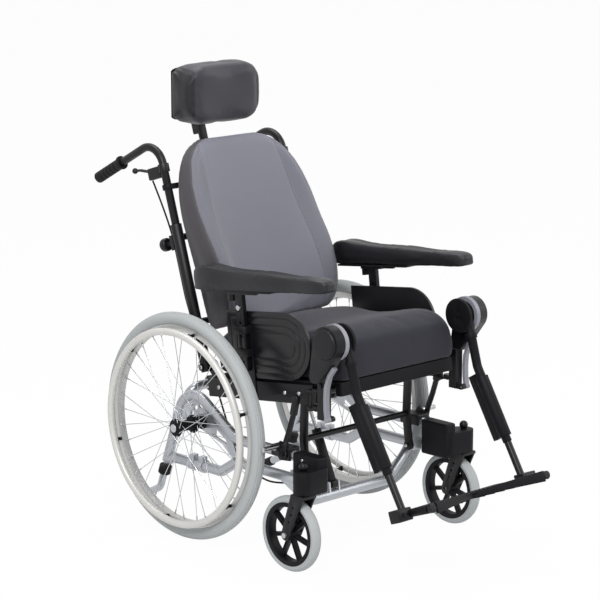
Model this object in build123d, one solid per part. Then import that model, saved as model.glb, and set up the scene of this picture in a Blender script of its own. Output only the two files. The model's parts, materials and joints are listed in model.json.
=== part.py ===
"""Tilt in space wheelchair, sizes in mm, +Z up, front towards -Y, the occupant's left towards +X.

The origin is on the floor under the middle of the chair. Every piece is drawn with the rear axle
at y 0 and moved back by axle_y when it is written. Left pieces are drawn and right ones mirrored.
"""
from build123d import *
from math import cos, sin, radians, hypot
import os

os.makedirs("parts", exist_ok=True)

axle_y = 176.0            # rear axle behind the middle of the chair
fit = 0.05                # radial clearance of a running fit
gap = 0.3                 # clearance between neighbours that don't turn on each other

# rear wheels
wheel_r = 305.0           # outside radius of the tyre
wheel_x = 305.0           # middle plane of the tyre from the middle of the chair
tyre_r = 18.0             # radius of the tyre's section
rim_top = wheel_r - 2 * tyre_r + 4.0
rim_half = 12.0
axle_r = 6.35
hub_in = 39.0             # hub ends, inwards and outwards from the tyre's plane
hub_out = 34.0
flange_x = 29.0
flange_r = 24.0
flange_t = 3.0
hole_r = 21.5             # circle of the spoke holes in the flanges
spoke_count = 36
spoke_r = 1.1
hand_r = 9.5              # section radius of the push rim
hand_ring = 258.0
hand_x = 37.0             # push rim outside the tyre's plane

# castors
castor_r = 99.0
castor_x = 298.0
stem_y = -wheel_r - 141.0  # swivel axis
castor_y = stem_y + 43.0  # castor axle at rest
stem_r = 8.0
castor_half = 16.0
bolt_r = 4.0
crown_z = 203.0           # underside of the fork's crown
crown_t = 8.0

# base frame
rail_r = 14.0
rail_x = 238.0
upper_z = 282.0
lower_z = 220.0
rear_z = 182.0            # rear part of the lower rail
foot_y = 149.0            # lower end of the rear leg
foot_z = 168.0
hoop_r = 13.0
hoop_y = 60.0             # hoop cross tube, the axis on which the seat tilts
hoop_z = wheel_r + 81.0
front_r = 15.0            # front cross tube
front_y = -315.0
front_z = 136.0
housing_back = stem_y + 84.0
stand_y = -347.0          # foot bolts of the front stand
stand_z = 228.0
lock_y = -wheel_r - 33.0  # pivot of the wheel lock
lock_z = upper_z + 5.0
spring_rise = 29.0        # lower pin of the tilt spring above the front cross tube

# seat
seat_angle = 7.0          # rise of the seat towards the front at rest
seat_x = 222.0            # middle of a seat rail
seat_t = 25.0             # rail width
seat_h = 50.0
seat_z = 393.0            # rail centre before the seat is turned by seat_angle
seat_front = -419.0
seat_back = -20.0
cross_r = 11.0
rest_y = -342.5           # front cross tube of the seat, which rests on the stand
rest_z = 381.0
lift_y = -208.0           # pin of the tilt spring on the seat
lift_z = 371.0
spring_x = -67.0
pin_r = 5.0
eye_play = 4.2            # radial clearance of the spring's upper eye on its pin
post_t = 14.0
post_w = 28.0
post_x = 245.3
post_y = -188.0
pad_z = 659.0             # underside of the arm pad

# back
back_angle = 17.5         # lean of the back tubes
hinge_y = 10.0
hinge_z = 450.0
sleeve_x = 218.0
sleeve_r = 15.0
handle_r = 11.0
sleeve_top = 386.0
handle_bend = 618.0       # bend of the push handle, along the tube from the hinge
grip_drop = 10.5          # fall of the grip from square to the back tube
clamp_u = handle_bend - 90.0   # lower edge of the release lever's clamp
eye_u = handle_bend - 138.0    # eyes of the back shell round the handle tubes
bar_v = 67.0              # headrest bar behind the back tubes
bar_w = 25.0
bar_t = 8.0
head_y = 285.0            # pin on which the headrest tips
head_z = 1118.0

# legs
hanger_x = 243.0
hanger_y = -464.0
hanger_w = 26.0
swing_y = -437.0          # axis on which the leg rest swings away
knee_y = -500.0
knee_z = 604.0
knee_r = 44.0
leg_x = 222.0
leg_r = 12.0
slide_r = 9.6             # tube that slides in the leg tube
bend_y = -560.0
bend_z = 476.0
leg_angle = 31.0          # lean of the lower leg
leg_len = 318.0           # bend to the foot
toe_angle = 20.6          # rise of the foot plate towards the front
foot_bar_x = 212.0
foot_bar_r = 7.0


def pipe(points, radius, bend=0.0, bore=0.0):
    """A round tube along straight runs joined by arcs."""
    line = FilletPolyline(*points, radius=bend) if bend else Polyline(*points)
    start = Plane(origin=line @ 0, z_dir=line % 0)
    tube = sweep(start * Circle(radius), path=line)
    if bore:
        tube -= sweep(start * Circle(bore), path=line)
    return tube


def rod(a, b, radius, bore=0.0):
    """A straight round bar from a to b."""
    a = Vector(*a)
    b = Vector(*b)
    bar = Cylinder(radius, (b - a).length, align=(Align.CENTER, Align.CENTER, Align.MIN))
    if bore:
        bar -= Cylinder(bore, 3 * (b - a).length)
    return Plane(origin=a, z_dir=b - a) * bar


def block(x0, x1, y0, y1, z0, z1, soft=0.0):
    """A box between two corners, with its edges rounded by soft."""
    box = Pos((x0 + x1) / 2, (y0 + y1) / 2, (z0 + z1) / 2) * Box(x1 - x0, y1 - y0, z1 - z0)
    return fillet(box.edges(), soft) if soft else box


def slab(points, x0, x1, soft=0.0):
    """A plate from x0 to x1 whose outline is given as (y, z)."""
    face = Polygon(*points, align=None)
    if soft:
        face = fillet(face.vertices(), soft)
    return extrude(Plane.YZ.offset(x0) * face, x1 - x0, dir=(1, 0, 0))


def hull(circles, x0, x1):
    """A plate from x0 to x1 round circles given as (y, z, radius)."""
    edges = [e for y, z, r in circles for e in (Pos(y, z) * Circle(r)).edges()]
    return extrude(Plane.YZ.offset(x0) * make_hull(edges), x1 - x0, dir=(1, 0, 0))


def column(edges, z0, z1):
    """An upright plate from z0 to z1 round outlines given in X and Y."""
    return extrude(Plane.XY.offset(z0) * make_hull(edges), z1 - z0, dir=(0, 0, 1))


def ribbon(points, width):
    """The outline of a strip of that width along points given as (y, z)."""
    left = []
    right = []
    for i, (y, z) in enumerate(points):
        before = points[max(i - 1, 0)]
        after = points[min(i + 1, len(points) - 1)]
        dy = after[0] - before[0]
        dz = after[1] - before[1]
        size = hypot(dy, dz)
        left.append((y - dz / size * width / 2, z + dy / size * width / 2))
        right.append((y + dz / size * width / 2, z - dy / size * width / 2))
    return left + right[::-1]


def turned(profile):
    """A solid of revolution about X from a sketch of (x, radius)."""
    return revolve(profile, axis=Axis.X)


def padded_face(plane, half, low, high, middle, edge):
    """A stuffed section: flat below, full sides, shoulders as wide as edge, and middle high at its centre."""
    foot = (0.93 * half, low)
    side = (half, low + 0.42 * (high - low))
    waist = (0.97 * half, high - edge)
    bend = (0.97 * half - 0.27 * edge, high - 0.27 * edge)
    brow = (0.97 * half - edge, high)

    def left(point):
        return (-point[0], point[1])

    edges = [Line(left(foot), foot), ThreePointArc(foot, side, waist), ThreePointArc(waist, bend, brow),
             ThreePointArc(brow, (0, middle), left(brow)), ThreePointArc(left(brow), left(bend), left(waist)),
             ThreePointArc(left(waist), left(side), left(foot))]
    return plane * make_face(edges)


def wheel_place(shape):
    return Pos(wheel_x, 0, wheel_r) * shape


def seat_place(shape):
    """Turns a piece that is drawn with a level seat about the hoop."""
    return shape.rotate(Axis((0, hoop_y, hoop_z), (1, 0, 0)), -seat_angle)


def back_place(shape):
    """Leans a piece that is drawn upright over the back's hinge."""
    return Pos(0, hinge_y, hinge_z) * Rot(X=-back_angle) * shape


def leg_place(shape):
    """Stands a piece that is drawn along -Z from the bend on the lower leg."""
    return Pos(leg_x, bend_y, bend_z) * Rot(X=-leg_angle) * shape


foot_pin_y = bend_y - leg_len * sin(radians(leg_angle))
foot_pin_z = bend_z - leg_len * cos(radians(leg_angle))


def foot_place(shape):
    """Sets a piece that is drawn level, with its hinge bar along Y from 0, on the foot."""
    return Pos(foot_bar_x, foot_pin_y, foot_pin_z) * Rot(X=-toe_angle) * shape


def mirrored(shape):
    return mirror(shape, about=Plane.YZ)


def save(name, *shapes):
    """Writes one named node, which may hold several equal pieces."""
    solids = [s for shape in shapes for s in (Pos(0, axle_y, 0) * shape).solids()]
    export_step(Compound(children=solids, label=name), f"parts/{name}.step")


def save_pair(name, shape):
    save(name + "_left", shape)
    save(name + "_right", mirrored(shape))


# rear wheels: tyre, rim, spokes, hub and push rim on each side
def rear_tyre():
    section = Pos(0, wheel_r - tyre_r) * Circle(tyre_r)
    section -= Pos(0, rim_top + gap - 50) * Rectangle(4 * tyre_r, 100)
    return wheel_place(turned(section))


def rear_rim():
    low = rim_top - 17
    outer = Polygon((-rim_half, rim_top), (-rim_half, low + 6), (-9, low), (9, low), (rim_half, low + 6),
                    (rim_half, rim_top), align=None)
    inner = Polygon((-rim_half + 2.5, rim_top + 1), (-rim_half + 2.5, low + 8), (-6, low + 3), (6, low + 3),
                    (rim_half - 2.5, low + 8), (rim_half - 2.5, rim_top + 1), align=None)
    return wheel_place(turned(outer - inner))


def wire(a, b, radius):
    """A thin bar from a to b with six sides, for what repeats by the dozen."""
    a = Vector(*a)
    b = Vector(*b)
    return extrude(Plane(origin=a, z_dir=b - a) * RegularPolygon(radius, 6), (b - a).length)


def spokes():
    """Tangent spokes from both hub flanges, leading ones outside the flange and trailing ones inside."""
    top = rim_top - 17 - gap
    pieces = []
    for k in range(spoke_count):
        side = 1 if k % 2 else -1
        lead = 1 if (k // 2) % 2 else -1
        at_rim = radians(360 / spoke_count * k)
        at_hub = at_rim + radians(58) * lead
        face = side * (flange_x + lead * (flange_t / 2 + 0.2))
        x = side * (flange_x + (6.0 if lead > 0 else -2.9))
        a = (x, hole_r * cos(at_hub), hole_r * sin(at_hub))
        b = (side * 3, top * cos(at_rim), top * sin(at_rim))
        c = tuple(q + (p - q) * 0.05 for p, q in zip(a, b))
        pieces.append(wire(a, b, spoke_r) + wire(c, b, 2 * spoke_r) + wire((face, a[1], a[2]), a, spoke_r))
    return [wheel_place(p) for p in pieces]


def hub():
    half = flange_t / 2
    neck = 0.85 * hole_r - spoke_r - 0.5
    shape = Polygon((-hub_in, axle_r + fit), (-hub_in, 15), (-flange_x - half, neck),
                    (-flange_x - half, flange_r), (-flange_x + half, flange_r), (-flange_x + half, neck),
                    (-14, 14), (14, 14), (flange_x - half, neck), (flange_x - half, flange_r),
                    (flange_x + half, flange_r), (flange_x + half, neck), (hub_out, 15),
                    (hub_out, axle_r + fit), align=None)
    return wheel_place(turned(shape))


def push_rim():
    """The hoop and the six blocks that hold it off the rim."""
    ring = turned(Pos(hand_x, hand_ring) * Circle(hand_r))
    for k in range(6):
        foot = Pos((rim_half + gap + hand_x) / 2, 0, hand_ring + 3) * Box(hand_x - rim_half - gap, 20, 9)
        ring += Rot(X=60 * k + 20) * foot
    return wheel_place(ring)


def axle():
    """The receiving sleeve with its nuts, clamped in the gusset, and the quick release pin in it."""
    end = wheel_x - hub_in - gap
    part = rod((rail_x - 22, 0, wheel_r), (end, 0, wheel_r), 13)
    for x in (rail_x - 13.5, rail_x + 3.5):
        nut = extrude(Plane.YZ.offset(x) * RegularPolygon(20, 6), 10, dir=(1, 0, 0))
        part += Pos(0, 0, wheel_r) * nut
    part += rod((rail_x - 30, 0, wheel_r), (wheel_x + hub_out + 2, 0, wheel_r), axle_r)
    cap = rod((wheel_x + hub_out + gap, 0, wheel_r), (wheel_x + hub_out + 6, 0, wheel_r), 11)
    return part + fillet(cap.edges(), 1.5)


# castors: fork, wheel and tyre on each side
def castor_fork():
    inner = castor_half + 2.5
    part = Pos(castor_x, stem_y, crown_z + crown_t / 2) * Box(2 * inner + 10, 46, crown_t)
    top = crown_z + crown_t
    for x in (castor_x - inner - 5, castor_x + inner):
        arm = hull([(stem_y - 15, top - 6, 6), (stem_y + 17, top - 6, 6), (castor_y, castor_r, 14)], x, x + 5)
        for k in (0.3, 0.48, 0.66):
            y = stem_y + (castor_y - stem_y) * k
            z = top + (castor_r - top) * k
            arm -= rod((x - 1, y, z), (x + 6, y, z), 3)
        part += arm
    part += Pos(castor_x, stem_y, top + 0.8) * Cylinder(14, 1.6)
    part += rod((castor_x, stem_y, crown_z), (castor_x, stem_y, 276), stem_r)
    part += Pos(castor_x, stem_y, 283) * Sphere(11.5)
    part += rod((castor_x - 29, castor_y, castor_r), (castor_x + 29, castor_y, castor_r), bolt_r)
    for x in (castor_x - inner - 10, castor_x + inner + 5):
        head = extrude(Plane.YZ.offset(x) * RegularPolygon(7.5, 6), 5, dir=(1, 0, 0))
        part += Pos(0, castor_y, castor_r) * head
    return part


def castor_wheel():
    half = castor_half - 3
    ring = turned(Pos(0, 77) * Rectangle(2 * half, 12))
    hub_part = turned(Pos(0, (17 + bolt_r + fit) / 2) * Rectangle(2 * castor_half + 4.4, 17 - bolt_r - fit))
    arm = Pos(0, 0, 43) * Box(13, 10, 60)
    for k in range(7):
        hub_part += Rot(X=360 / 7 * k) * (arm - Pos(9, 0, 43) * Box(10, 5, 50))
    hub_part -= turned(Pos(0, (bolt_r + fit) / 2) * Rectangle(60, bolt_r + fit))
    return Pos(castor_x, castor_y, castor_r) * (ring + hub_part)


def castor_tyre():
    low = 83 + gap
    high = castor_r - 8
    edges = [Polyline((castor_half, high), (castor_half - 2, low), (2 - castor_half, low), (-castor_half, high)),
             ThreePointArc((-castor_half, high), (0, castor_r), (castor_half, high))]
    return Pos(castor_x, castor_y, castor_r) * turned(make_face(edges))


# base
def gusset():
    """The plate that carries the axle, with kidney shaped cut-outs round it."""
    plate = slab([(92, wheel_r + 17), (62, wheel_r + 73), (22, wheel_r + 61), (-60, wheel_r + 7),
                  (-118, upper_z - 10), (-140, lower_z + 6), (-122, lower_z + 2), (-78, wheel_r - 47),
                  (10, wheel_r - 21), (78, wheel_r - 9)], rail_x - 2.5, rail_x + 2.5)
    for k, size in ((22, 9), (52, 11), (82, 11), (112, 11), (141, 12)):
        y = 44 * cos(radians(k))
        z = wheel_r + 42 * sin(radians(k))
        hole = extrude(Plane.YZ * Ellipse(size * 0.8, size * 0.5), 5, both=True)
        plate -= Pos(rail_x, y, z) * Rot(X=k + 90) * hole
    slot = slab([(-52, wheel_r - 9), (-92, upper_z - 10), (-96, upper_z - 20), (-50, wheel_r - 31)],
                rail_x - 5, rail_x + 5)
    return plate - slot - rod((rail_x - 9, 0, wheel_r), (rail_x + 9, 0, wheel_r), 13 + fit)


def base_frame():
    """The welded tube frame: both sides, the rear hoop and the front cross tube."""
    leg = (rail_x, foot_y, foot_z)
    top = (rail_x, 63, wheel_r + 100)
    end = housing_back - 38
    upper = pipe([leg, top, (rail_x, -130, upper_z), (rail_x, end, upper_z)], rail_r, 66)
    lower = pipe([leg, (rail_x, 120, rear_z), (rail_x, -72, rear_z), (rail_x, -132, lower_z),
                  (rail_x, end, lower_z)], rail_r, 20)
    lug = block(195.3, rail_x, stand_y - 12, stand_y + 12, 214, 240)
    side = upper + lower + gusset() + lug
    for y in (-8, 28):
        side += rod((rail_x, y, rear_z), (rail_x, y + 22, rear_z), rail_r + 4)
        side += block(rail_x - 9, rail_x + 9, y + 3, y + 19, rear_z, rear_z + rail_r + 12)
    hoop = pipe([(-230, 118, 260), (-230, hoop_y, hoop_z), (230, hoop_y, hoop_z), (230, 118, 260)], hoop_r, 34)
    bow = pipe([(-rail_x, front_y, lower_z), (-150, front_y, front_z), (150, front_y, front_z),
                (rail_x, front_y, lower_z)], front_r, 60)
    pin_z = front_z + spring_rise
    ears = slab([(front_y - 12, front_z + 8), (front_y + 12, front_z + 8), (front_y + 8, pin_z + 9),
                 (front_y - 8, pin_z + 9)], spring_x - 19.5, spring_x - 14.5)
    frame = side + mirrored(side) + hoop + bow + ears + Pos(34, 0, 0) * ears
    pin = rod((spring_x - 22, front_y, pin_z), (spring_x + 22, front_y, pin_z), pin_r)
    return frame + pin


def castor_housing():
    """The moulded block that joins the rail ends to the castor's swivel bearing."""
    tall = block(220, 257, stem_y - 10, housing_back, 202.5, 297, 6)
    low = column((Pos(castor_x, stem_y) * Circle(26)).edges() + (Pos(240, stem_y) * Circle(20)).edges()
                 + (Pos(240, housing_back - 30) * Circle(16)).edges(), 213, 272)
    part = tall + low
    for z in (upper_z, lower_z):
        part -= rod((rail_x, housing_back - 40, z), (rail_x, housing_back + 22, z), rail_r + fit)
    part -= rod((castor_x, stem_y, 200), (castor_x, stem_y, 300), stem_r + fit)
    for y in (housing_back - 22, stem_y + 10):
        part -= rod((250, y, 250), (262, y, 250), 6)
    return part


def wheel_lock_bracket():
    """Clamp on the upper rail with the plate on which the lock's lever turns."""
    part = block(rail_x - 19, 259, lock_y - 14, lock_y + 54, upper_z - 8, upper_z + 22, 4)
    part += slab([(lock_y - 18, lock_z - 15), (lock_y + 20, lock_z - 19), (lock_y + 38, lock_z + 5),
                  (lock_y + 20, lock_z + 31), (lock_y - 12, lock_z + 19)], 254, 260)
    part -= rod((rail_x, lock_y - 80, upper_z), (rail_x, lock_y + 140, upper_z), rail_r + fit)
    return part + rod((258, lock_y, lock_z), (275, lock_y, lock_z), pin_r)


def wheel_lock_lever():
    """Flat lever with its grip, and the pin that it presses on the tyre."""
    strip = ribbon([(lock_y, lock_z), (lock_y - 8, lock_z + 33), (lock_y - 24, lock_z + 73),
                    (lock_y - 40, lock_z + 121), (lock_y - 48, lock_z + 153)], 15)
    arm = slab(strip, 262, 267) + rod((262, lock_y, lock_z), (267, lock_y, lock_z), 12)
    arm += slab([(lock_y - 8, lock_z + 9), (lock_y + 8, lock_z - 9), (lock_y + 28, lock_z + 11),
                 (lock_y + 22, lock_z + 25)], 262, 267)
    arm += rod((262, lock_y + 20, lock_z + 18), (318, lock_y + 20, lock_z + 18), 6.5)
    handle = Pos(264.5, lock_y - 43, lock_z + 137) * Rot(X=14) * Box(17, 19, 56)
    arm += fillet(handle.edges(), 6)
    return arm - rod((250, lock_y, lock_z), (290, lock_y, lock_z), pin_r + fit)


def anti_tipper():
    """Collar on the foot of the rear leg and the bent tube below it."""
    down = Vector(0, 63 - foot_y, wheel_r + 100 - foot_z).normalized() * -1
    start = Vector(rail_x, foot_y, foot_z) + down * 17
    low = start + down * 70
    toe = Vector(0, 75, -38)
    tube = pipe([tuple(start), tuple(low), tuple(low + toe)], 10, 30)
    collar = rod(tuple(start), tuple(start + down * 22), 17)
    tip = rod(tuple(low + toe * 0.8), tuple(low + toe * 1.12), 13)
    return tube + collar + fillet(tip.edges(), 3)


def front_stand():
    """Two bars on the lower rails, joined by a cross shaft, with saddles under the seat's front tube."""
    top = seat_place(Pos(0, rest_y, rest_z) * Box(1, 1, 1)).center()
    strip = ribbon([(stand_y, stand_z), (-342, 262), (-336, 312), (-338, 360), (top.Y, top.Z - 12)], 24)
    stand = rod((-190, -333, 312), (190, -333, 312), 8)
    for s in (1, -1):
        bar = slab(strip, 187, 195) + rod((185, stand_y, stand_z), (195, stand_y, stand_z), 14)
        bar += block(183, 199, top.Y - 17, top.Y + 17, top.Z - 18, top.Z - 2)
        bar -= rod((150, top.Y, top.Z), (230, top.Y, top.Z), cross_r + gap)
        bar += rod((180, stand_y, stand_z), (185, stand_y, stand_z), 7)
        stand += bar if s > 0 else mirrored(bar)
    return stand


# tilt spring
spring_foot = (front_y, front_z + spring_rise)


def tilt_spring():
    """Cylinder and rod of the gas spring as drawn along the line between its two pins."""
    high = seat_place(Pos(0, lift_y, lift_z) * Box(1, 1, 1)).center()
    a = Vector(spring_x, spring_foot[0], spring_foot[1])
    b = Vector(spring_x, high.Y, high.Z)
    way = (b - a).normalized()
    side = Vector(1, 0, 0)
    barrel = rod(tuple(a + way * 8), tuple(a + way * 150), 13)
    barrel += rod(tuple(a - side * 9), tuple(a + side * 9), 12)
    barrel -= rod(tuple(a - side * 20), tuple(a + side * 20), pin_r + fit)
    barrel -= rod(tuple(a + way * 25), tuple(a + way * 160), 5 + fit)
    shaft = rod(tuple(a + way * 30), tuple(b - way * 12), 5)
    eye = rod(tuple(b - side * 8), tuple(b + side * 8), 14)
    shaft = shaft + eye - rod(tuple(b - side * 20), tuple(b + side * 20), pin_r + eye_play)
    return barrel, shaft


# seat
def seat_frame():
    """Rails, cross tubes, hoop bearings, armrest receivers, leg rest lugs and back hinge plates."""
    outer = seat_x + seat_t / 2
    rail = block(seat_x - seat_t / 2, outer, seat_front, seat_back, seat_z - seat_h / 2, seat_z + seat_h / 2)
    rail -= block(seat_x - seat_t / 2 + 3, outer - 3, seat_front - 5, seat_back + 5,
                  seat_z - seat_h / 2 + 3, seat_z + seat_h / 2 - 3)
    bearing = hull([(seat_back - 14, seat_z, 14), (hoop_y, hoop_z, 21)], 138, 162)
    bearing -= rod((130, hoop_y, hoop_z), (170, hoop_y, hoop_z), hoop_r + fit)
    stay = block(outer, outer + 3.5, post_y - 22, post_y + 22, seat_z - 20, 566)
    for z in (494, 554):
        stay += block(outer, post_x + post_t / 2 + 4, post_y - 22, post_y + 22, z - 10, z + 10, 0)
    hole = block(post_x - post_t / 2 - fit, post_x + post_t / 2 + fit, post_y - post_w / 2 - fit,
                 post_y + post_w / 2 + fit, 400, 700)
    side = rail + bearing + (stay - hole)
    tubes = rod((-seat_x, seat_back - 14, seat_z), (seat_x, seat_back - 14, seat_z), 12)
    tubes += rod((-seat_x, rest_y, rest_z), (seat_x, rest_y, rest_z), cross_r)
    tubes += rod((-seat_x, lift_y, lift_z + 32), (seat_x, lift_y, lift_z + 32), cross_r)
    for x in (spring_x - 17, spring_x + 12):
        tubes += hull([(lift_y, lift_z + 32, 12), (lift_y, lift_z, 10)], x, x + 5)
    tubes += rod((spring_x - 19, lift_y, lift_z), (spring_x + 19, lift_y, lift_z), pin_r)
    frame = seat_place(side + mirrored(side) + tubes)
    rear = seat_place(Pos(0, seat_back - 14, seat_z) * Box(1, 1, 1)).center()
    inner = sleeve_x - sleeve_r - 3
    ends = hull([(hinge_y, hinge_z, 16), (rear.Y, rear.Z, 14)], inner - 12, inner)
    ends += rod((inner - 12, hinge_y, hinge_z), (sleeve_x + sleeve_r + 4, hinge_y, hinge_z), pin_r)
    ends += rod((sleeve_x + sleeve_r + 0.5, hinge_y, hinge_z), (sleeve_x + sleeve_r + 4, hinge_y, hinge_z), 9)
    for z in (418, 462):
        lug = column((Pos(hanger_x, swing_y) * Circle(11)).edges()
                     + (Pos(236, -412) * Rectangle(22, 12)).edges(), z, z + 6)
        ends += lug - rod((hanger_x, swing_y, 380), (hanger_x, swing_y, 500), pin_r + fit)
    ends += block(226, 245, -418, -404, 412, 468)
    return frame + ends + mirrored(ends)


def seat_pan():
    """Seat plate on the rails with the front valance below the cushion."""
    z = seat_z + seat_h / 2 + gap
    plate = block(-219, 219, -474, seat_back - 26, z, z + 7)
    front = block(-206, 206, -494, -472, z - 30, z + 7, 4)
    return seat_place(plate + front)


def seat_cushion():
    """Foam cushion with a crown, drawn-in sides and a rounded front."""
    z = seat_z + seat_h / 2 + gap + 7 + gap
    sections = []
    for y, half, low, high, rise, edge in ((-30, 205, 4, 90, 4, 24), (-60, 216, 0, 108, 6, 30),
                                           (-250, 213, 0, 112, 5, 30), (-420, 217, 0, 116, 3, 32),
                                           (-480, 215, 0, 104, 4, 36), (-506, 208, 4, 80, 4, 28)):
        plane = Plane(origin=(0, y, z), x_dir=(1, 0, 0), z_dir=(0, -1, 0))
        sections.append(padded_face(plane, half, low, high, high + rise, edge))
    return seat_place(loft(sections) - block(-300, 300, -600, 100, z - 50, z + 0.2))


def side_panels():
    """Skirt guards with a rounded front end and grooves that follow it."""
    low = 426.0
    high = 601.0
    mid = (low + high) / 2
    half = (high - low) / 2
    nose = -421.0 + half

    def shape(inset, x0, x1):
        body = slab([(-115 - inset, low + inset), (-115 - inset, high - inset), (nose, high - inset),
                     (nose, low + inset)], x0, x1)
        return body + rod((x0, nose, mid), (x1, nose, mid), half - inset)

    panel = shape(0, 226, 234)
    for inset in (14, 34, 54):
        panel -= shape(inset, 232.6, 235) - shape(inset + 3, 232, 236)
    return [seat_place(panel), mirrored(seat_place(panel))]


# armrests
def armrest_post():
    """Flat post with its pad plate, depth lever, knob and height screw."""
    post = block(post_x - post_t / 2, post_x + post_t / 2, post_y - post_w / 2, post_y + post_w / 2, 446, 652, 2)
    for k in range(5):
        post -= rod((220, post_y, 470 + 34 * k), (270, post_y, 470 + 34 * k), 4)
    plate = block(post_x - 19, post_x + 27, -330, -70, pad_z - 5, pad_z - gap)
    neck = block(post_x - 12, post_x + 12, post_y - 40, post_y + 36, pad_z - 12, pad_z - 5)
    knob = rod((post_x, post_y + 30, pad_z - 30), (post_x, post_y + 30, pad_z - 5), 10)
    lever = block(post_x + 2, post_x + 12, post_y - 72, post_y - 36, pad_z - 12, pad_z - 8)
    screw = rod((post_x, post_y, 612), (post_x + post_t / 2 + 5, post_y, 612), 7)
    return seat_place(post + plate + neck + knob + lever + screw)


def arm_pad():
    """Moulded pad, high at the rear, hollowed along the forearm and bulging again at the tip."""
    sections = []
    for y, half, low, high, dip in ((-42, 20, 0, 50, -2), (-60, 27.5, 0, 62, 1), (-150, 30, 0, 60, 6),
                                    (-260, 31, 0, 52, 8), (-380, 30, 0, 43, 7), (-470, 30, 0, 38, 2),
                                    (-520, 27, 0, 35, -1), (-540, 15, 6, 27, -1)):
        plane = Plane(origin=(254, y, pad_z), x_dir=(1, 0, 0), z_dir=(0, -1, 0))
        sections.append(padded_face(plane, half, low, high, high - dip, 0.3 * half))
    return seat_place(loft(sections) - block(200, 300, -600, 0, pad_z - 50, pad_z + 0.2))


# back
def back_frame():
    """Back sleeves with their clamping knobs, the bars between them and the headrest receiver."""
    part = None
    for s in (1, -1):
        x = s * sleeve_x
        tube = rod((x, 0, -14), (x, 0, sleeve_top), sleeve_r, handle_r + fit)
        tube += rod((x, 0, 60), (x, 0, 90), sleeve_r - 1)
        tube -= rod((x - 30, 0, 0), (x + 30, 0, 0), pin_r + fit)
        tube += block(x - 11, x + 11, sleeve_r - 2.5, 26, sleeve_top - 66, sleeve_top - 26)
        tube += rod((x, 14, sleeve_top - 46), (x, 46, sleeve_top - 46), 6)
        knob = rod((x, 46, sleeve_top - 46), (x, 67, sleeve_top - 46), 18)
        tube += fillet(knob.edges(), 6)
        part = tube if part is None else part + tube
    reach = sleeve_x - sleeve_r + 2
    for z in (120, 350):
        part += rod((-reach, 0, z), (reach, 0, z), 9)
    part += block(-24, 24, 0, bar_v - 4, 340, 360)
    part += block(-24, 24, bar_v - 16, bar_v + 16, 330, 420, 3)
    slot = block(-bar_w / 2 - fit, bar_w / 2 + fit, bar_v - bar_t / 2 - fit, bar_v + bar_t / 2 + fit, 300, 460)
    return back_place(part - slot)


def back_shell():
    """Thin shell behind the back cushion, with the eyes that steady the handle tubes."""
    face = Polygon((-186, 96), (186, 96), (200, 300), (196, 450), (176, 530), (120, 575), (-120, 575),
                   (-176, 530), (-196, 450), (-200, 300), align=None)
    plate = extrude(Plane.XZ.offset(16.5) * fillet(face.vertices(), 20), 4.5, dir=(0, -1, 0))
    for s in (1, -1):
        near, far = sorted((s * sleeve_x, s * (sleeve_x - 32)))
        eye = rod((s * sleeve_x, 0, eye_u), (s * sleeve_x, 0, eye_u + 14), 15)
        eye += block(near, far, -20, 0, eye_u, eye_u + 14)
        plate += eye - rod((s * sleeve_x, 0, eye_u - 10), (s * sleeve_x, 0, eye_u + 24), handle_r + 0.1)
    return back_place(plate)


def back_cushion():
    """Upholstered back: a hollow centre panel between two bolsters, with rounded shoulders."""
    sections = []
    for u, half, depth, centre, edge in ((88, 196, 62, 46, 18), (104, 206, 80, 42, 24), (200, 216, 98, 38, 26),
                                         (300, 222, 92, 34, 26), (400, 226, 78, 32, 24), (480, 220, 64, 30, 20),
                                         (545, 194, 48, 28, 16), (585, 150, 34, 24, 13), (603, 100, 22, 17, 9)):
        plane = Plane(origin=(0, -21.5, u), x_dir=(-1, 0, 0), z_dir=(0, 0, 1))
        sections.append(padded_face(plane, half, 0, depth, centre, edge))
    return back_place(loft(sections) - block(-250, 250, -21.7, 50, 0, 700))


def on_grip(length):
    """The point that far along the grip from the handle's bend."""
    drop = radians(grip_drop)
    return (sleeve_x, length * cos(drop), handle_bend - length * sin(drop))


def push_handle():
    """Handle tube with its bend to the rear and the clamp that holds the release lever."""
    tube = pipe([(sleeve_x, 0, 150), (sleeve_x, 0, handle_bend), on_grip(280)], handle_r, 58)
    clamp = rod((sleeve_x, 0, clamp_u), (sleeve_x, 0, clamp_u + 22), 15)
    box = block(sleeve_x - 9, sleeve_x + 9, 10, 62, clamp_u - 12, clamp_u + 20, 4)
    slot = block(sleeve_x - 4, sleeve_x + 4, 28, 70, clamp_u - 6, clamp_u + 28)
    pin = rod((sleeve_x - 8, 46, clamp_u + 8), (sleeve_x + 8, 46, clamp_u + 8), 3)
    return back_place(tube + clamp + (box - slot) + pin)


def grip():
    """Ribbed rubber grip on the end of the handle, with a flange at its front."""
    body = rod(on_grip(168), on_grip(284), 15.5) + rod(on_grip(168), on_grip(175), 19)
    body = chamfer(body.edges().filter_by(GeomType.CIRCLE), 1.5)
    for k in range(5):
        body -= rod(on_grip(190 + 16 * k), on_grip(194 + 16 * k), 20, 14.2)
    return back_place(body - rod(on_grip(160), on_grip(280.3), handle_r + fit))


def release_lever():
    """Lever with a ball end, on a pin in the clamp on the handle."""
    pin_u = clamp_u + 8
    blade = ribbon([(46, pin_u), (70, pin_u + 7), (96, pin_u + 15), (116, pin_u + 18)], 7)
    part = slab(blade, sleeve_x - 3, sleeve_x + 3)
    part += rod((sleeve_x - 3.5, 46, pin_u), (sleeve_x + 3.5, 46, pin_u), 8)
    part += Pos(sleeve_x, 120, pin_u + 18) * Sphere(8)
    return back_place(part - rod((sleeve_x - 9, 46, pin_u), (sleeve_x + 9, 46, pin_u), 3 + fit))


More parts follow.
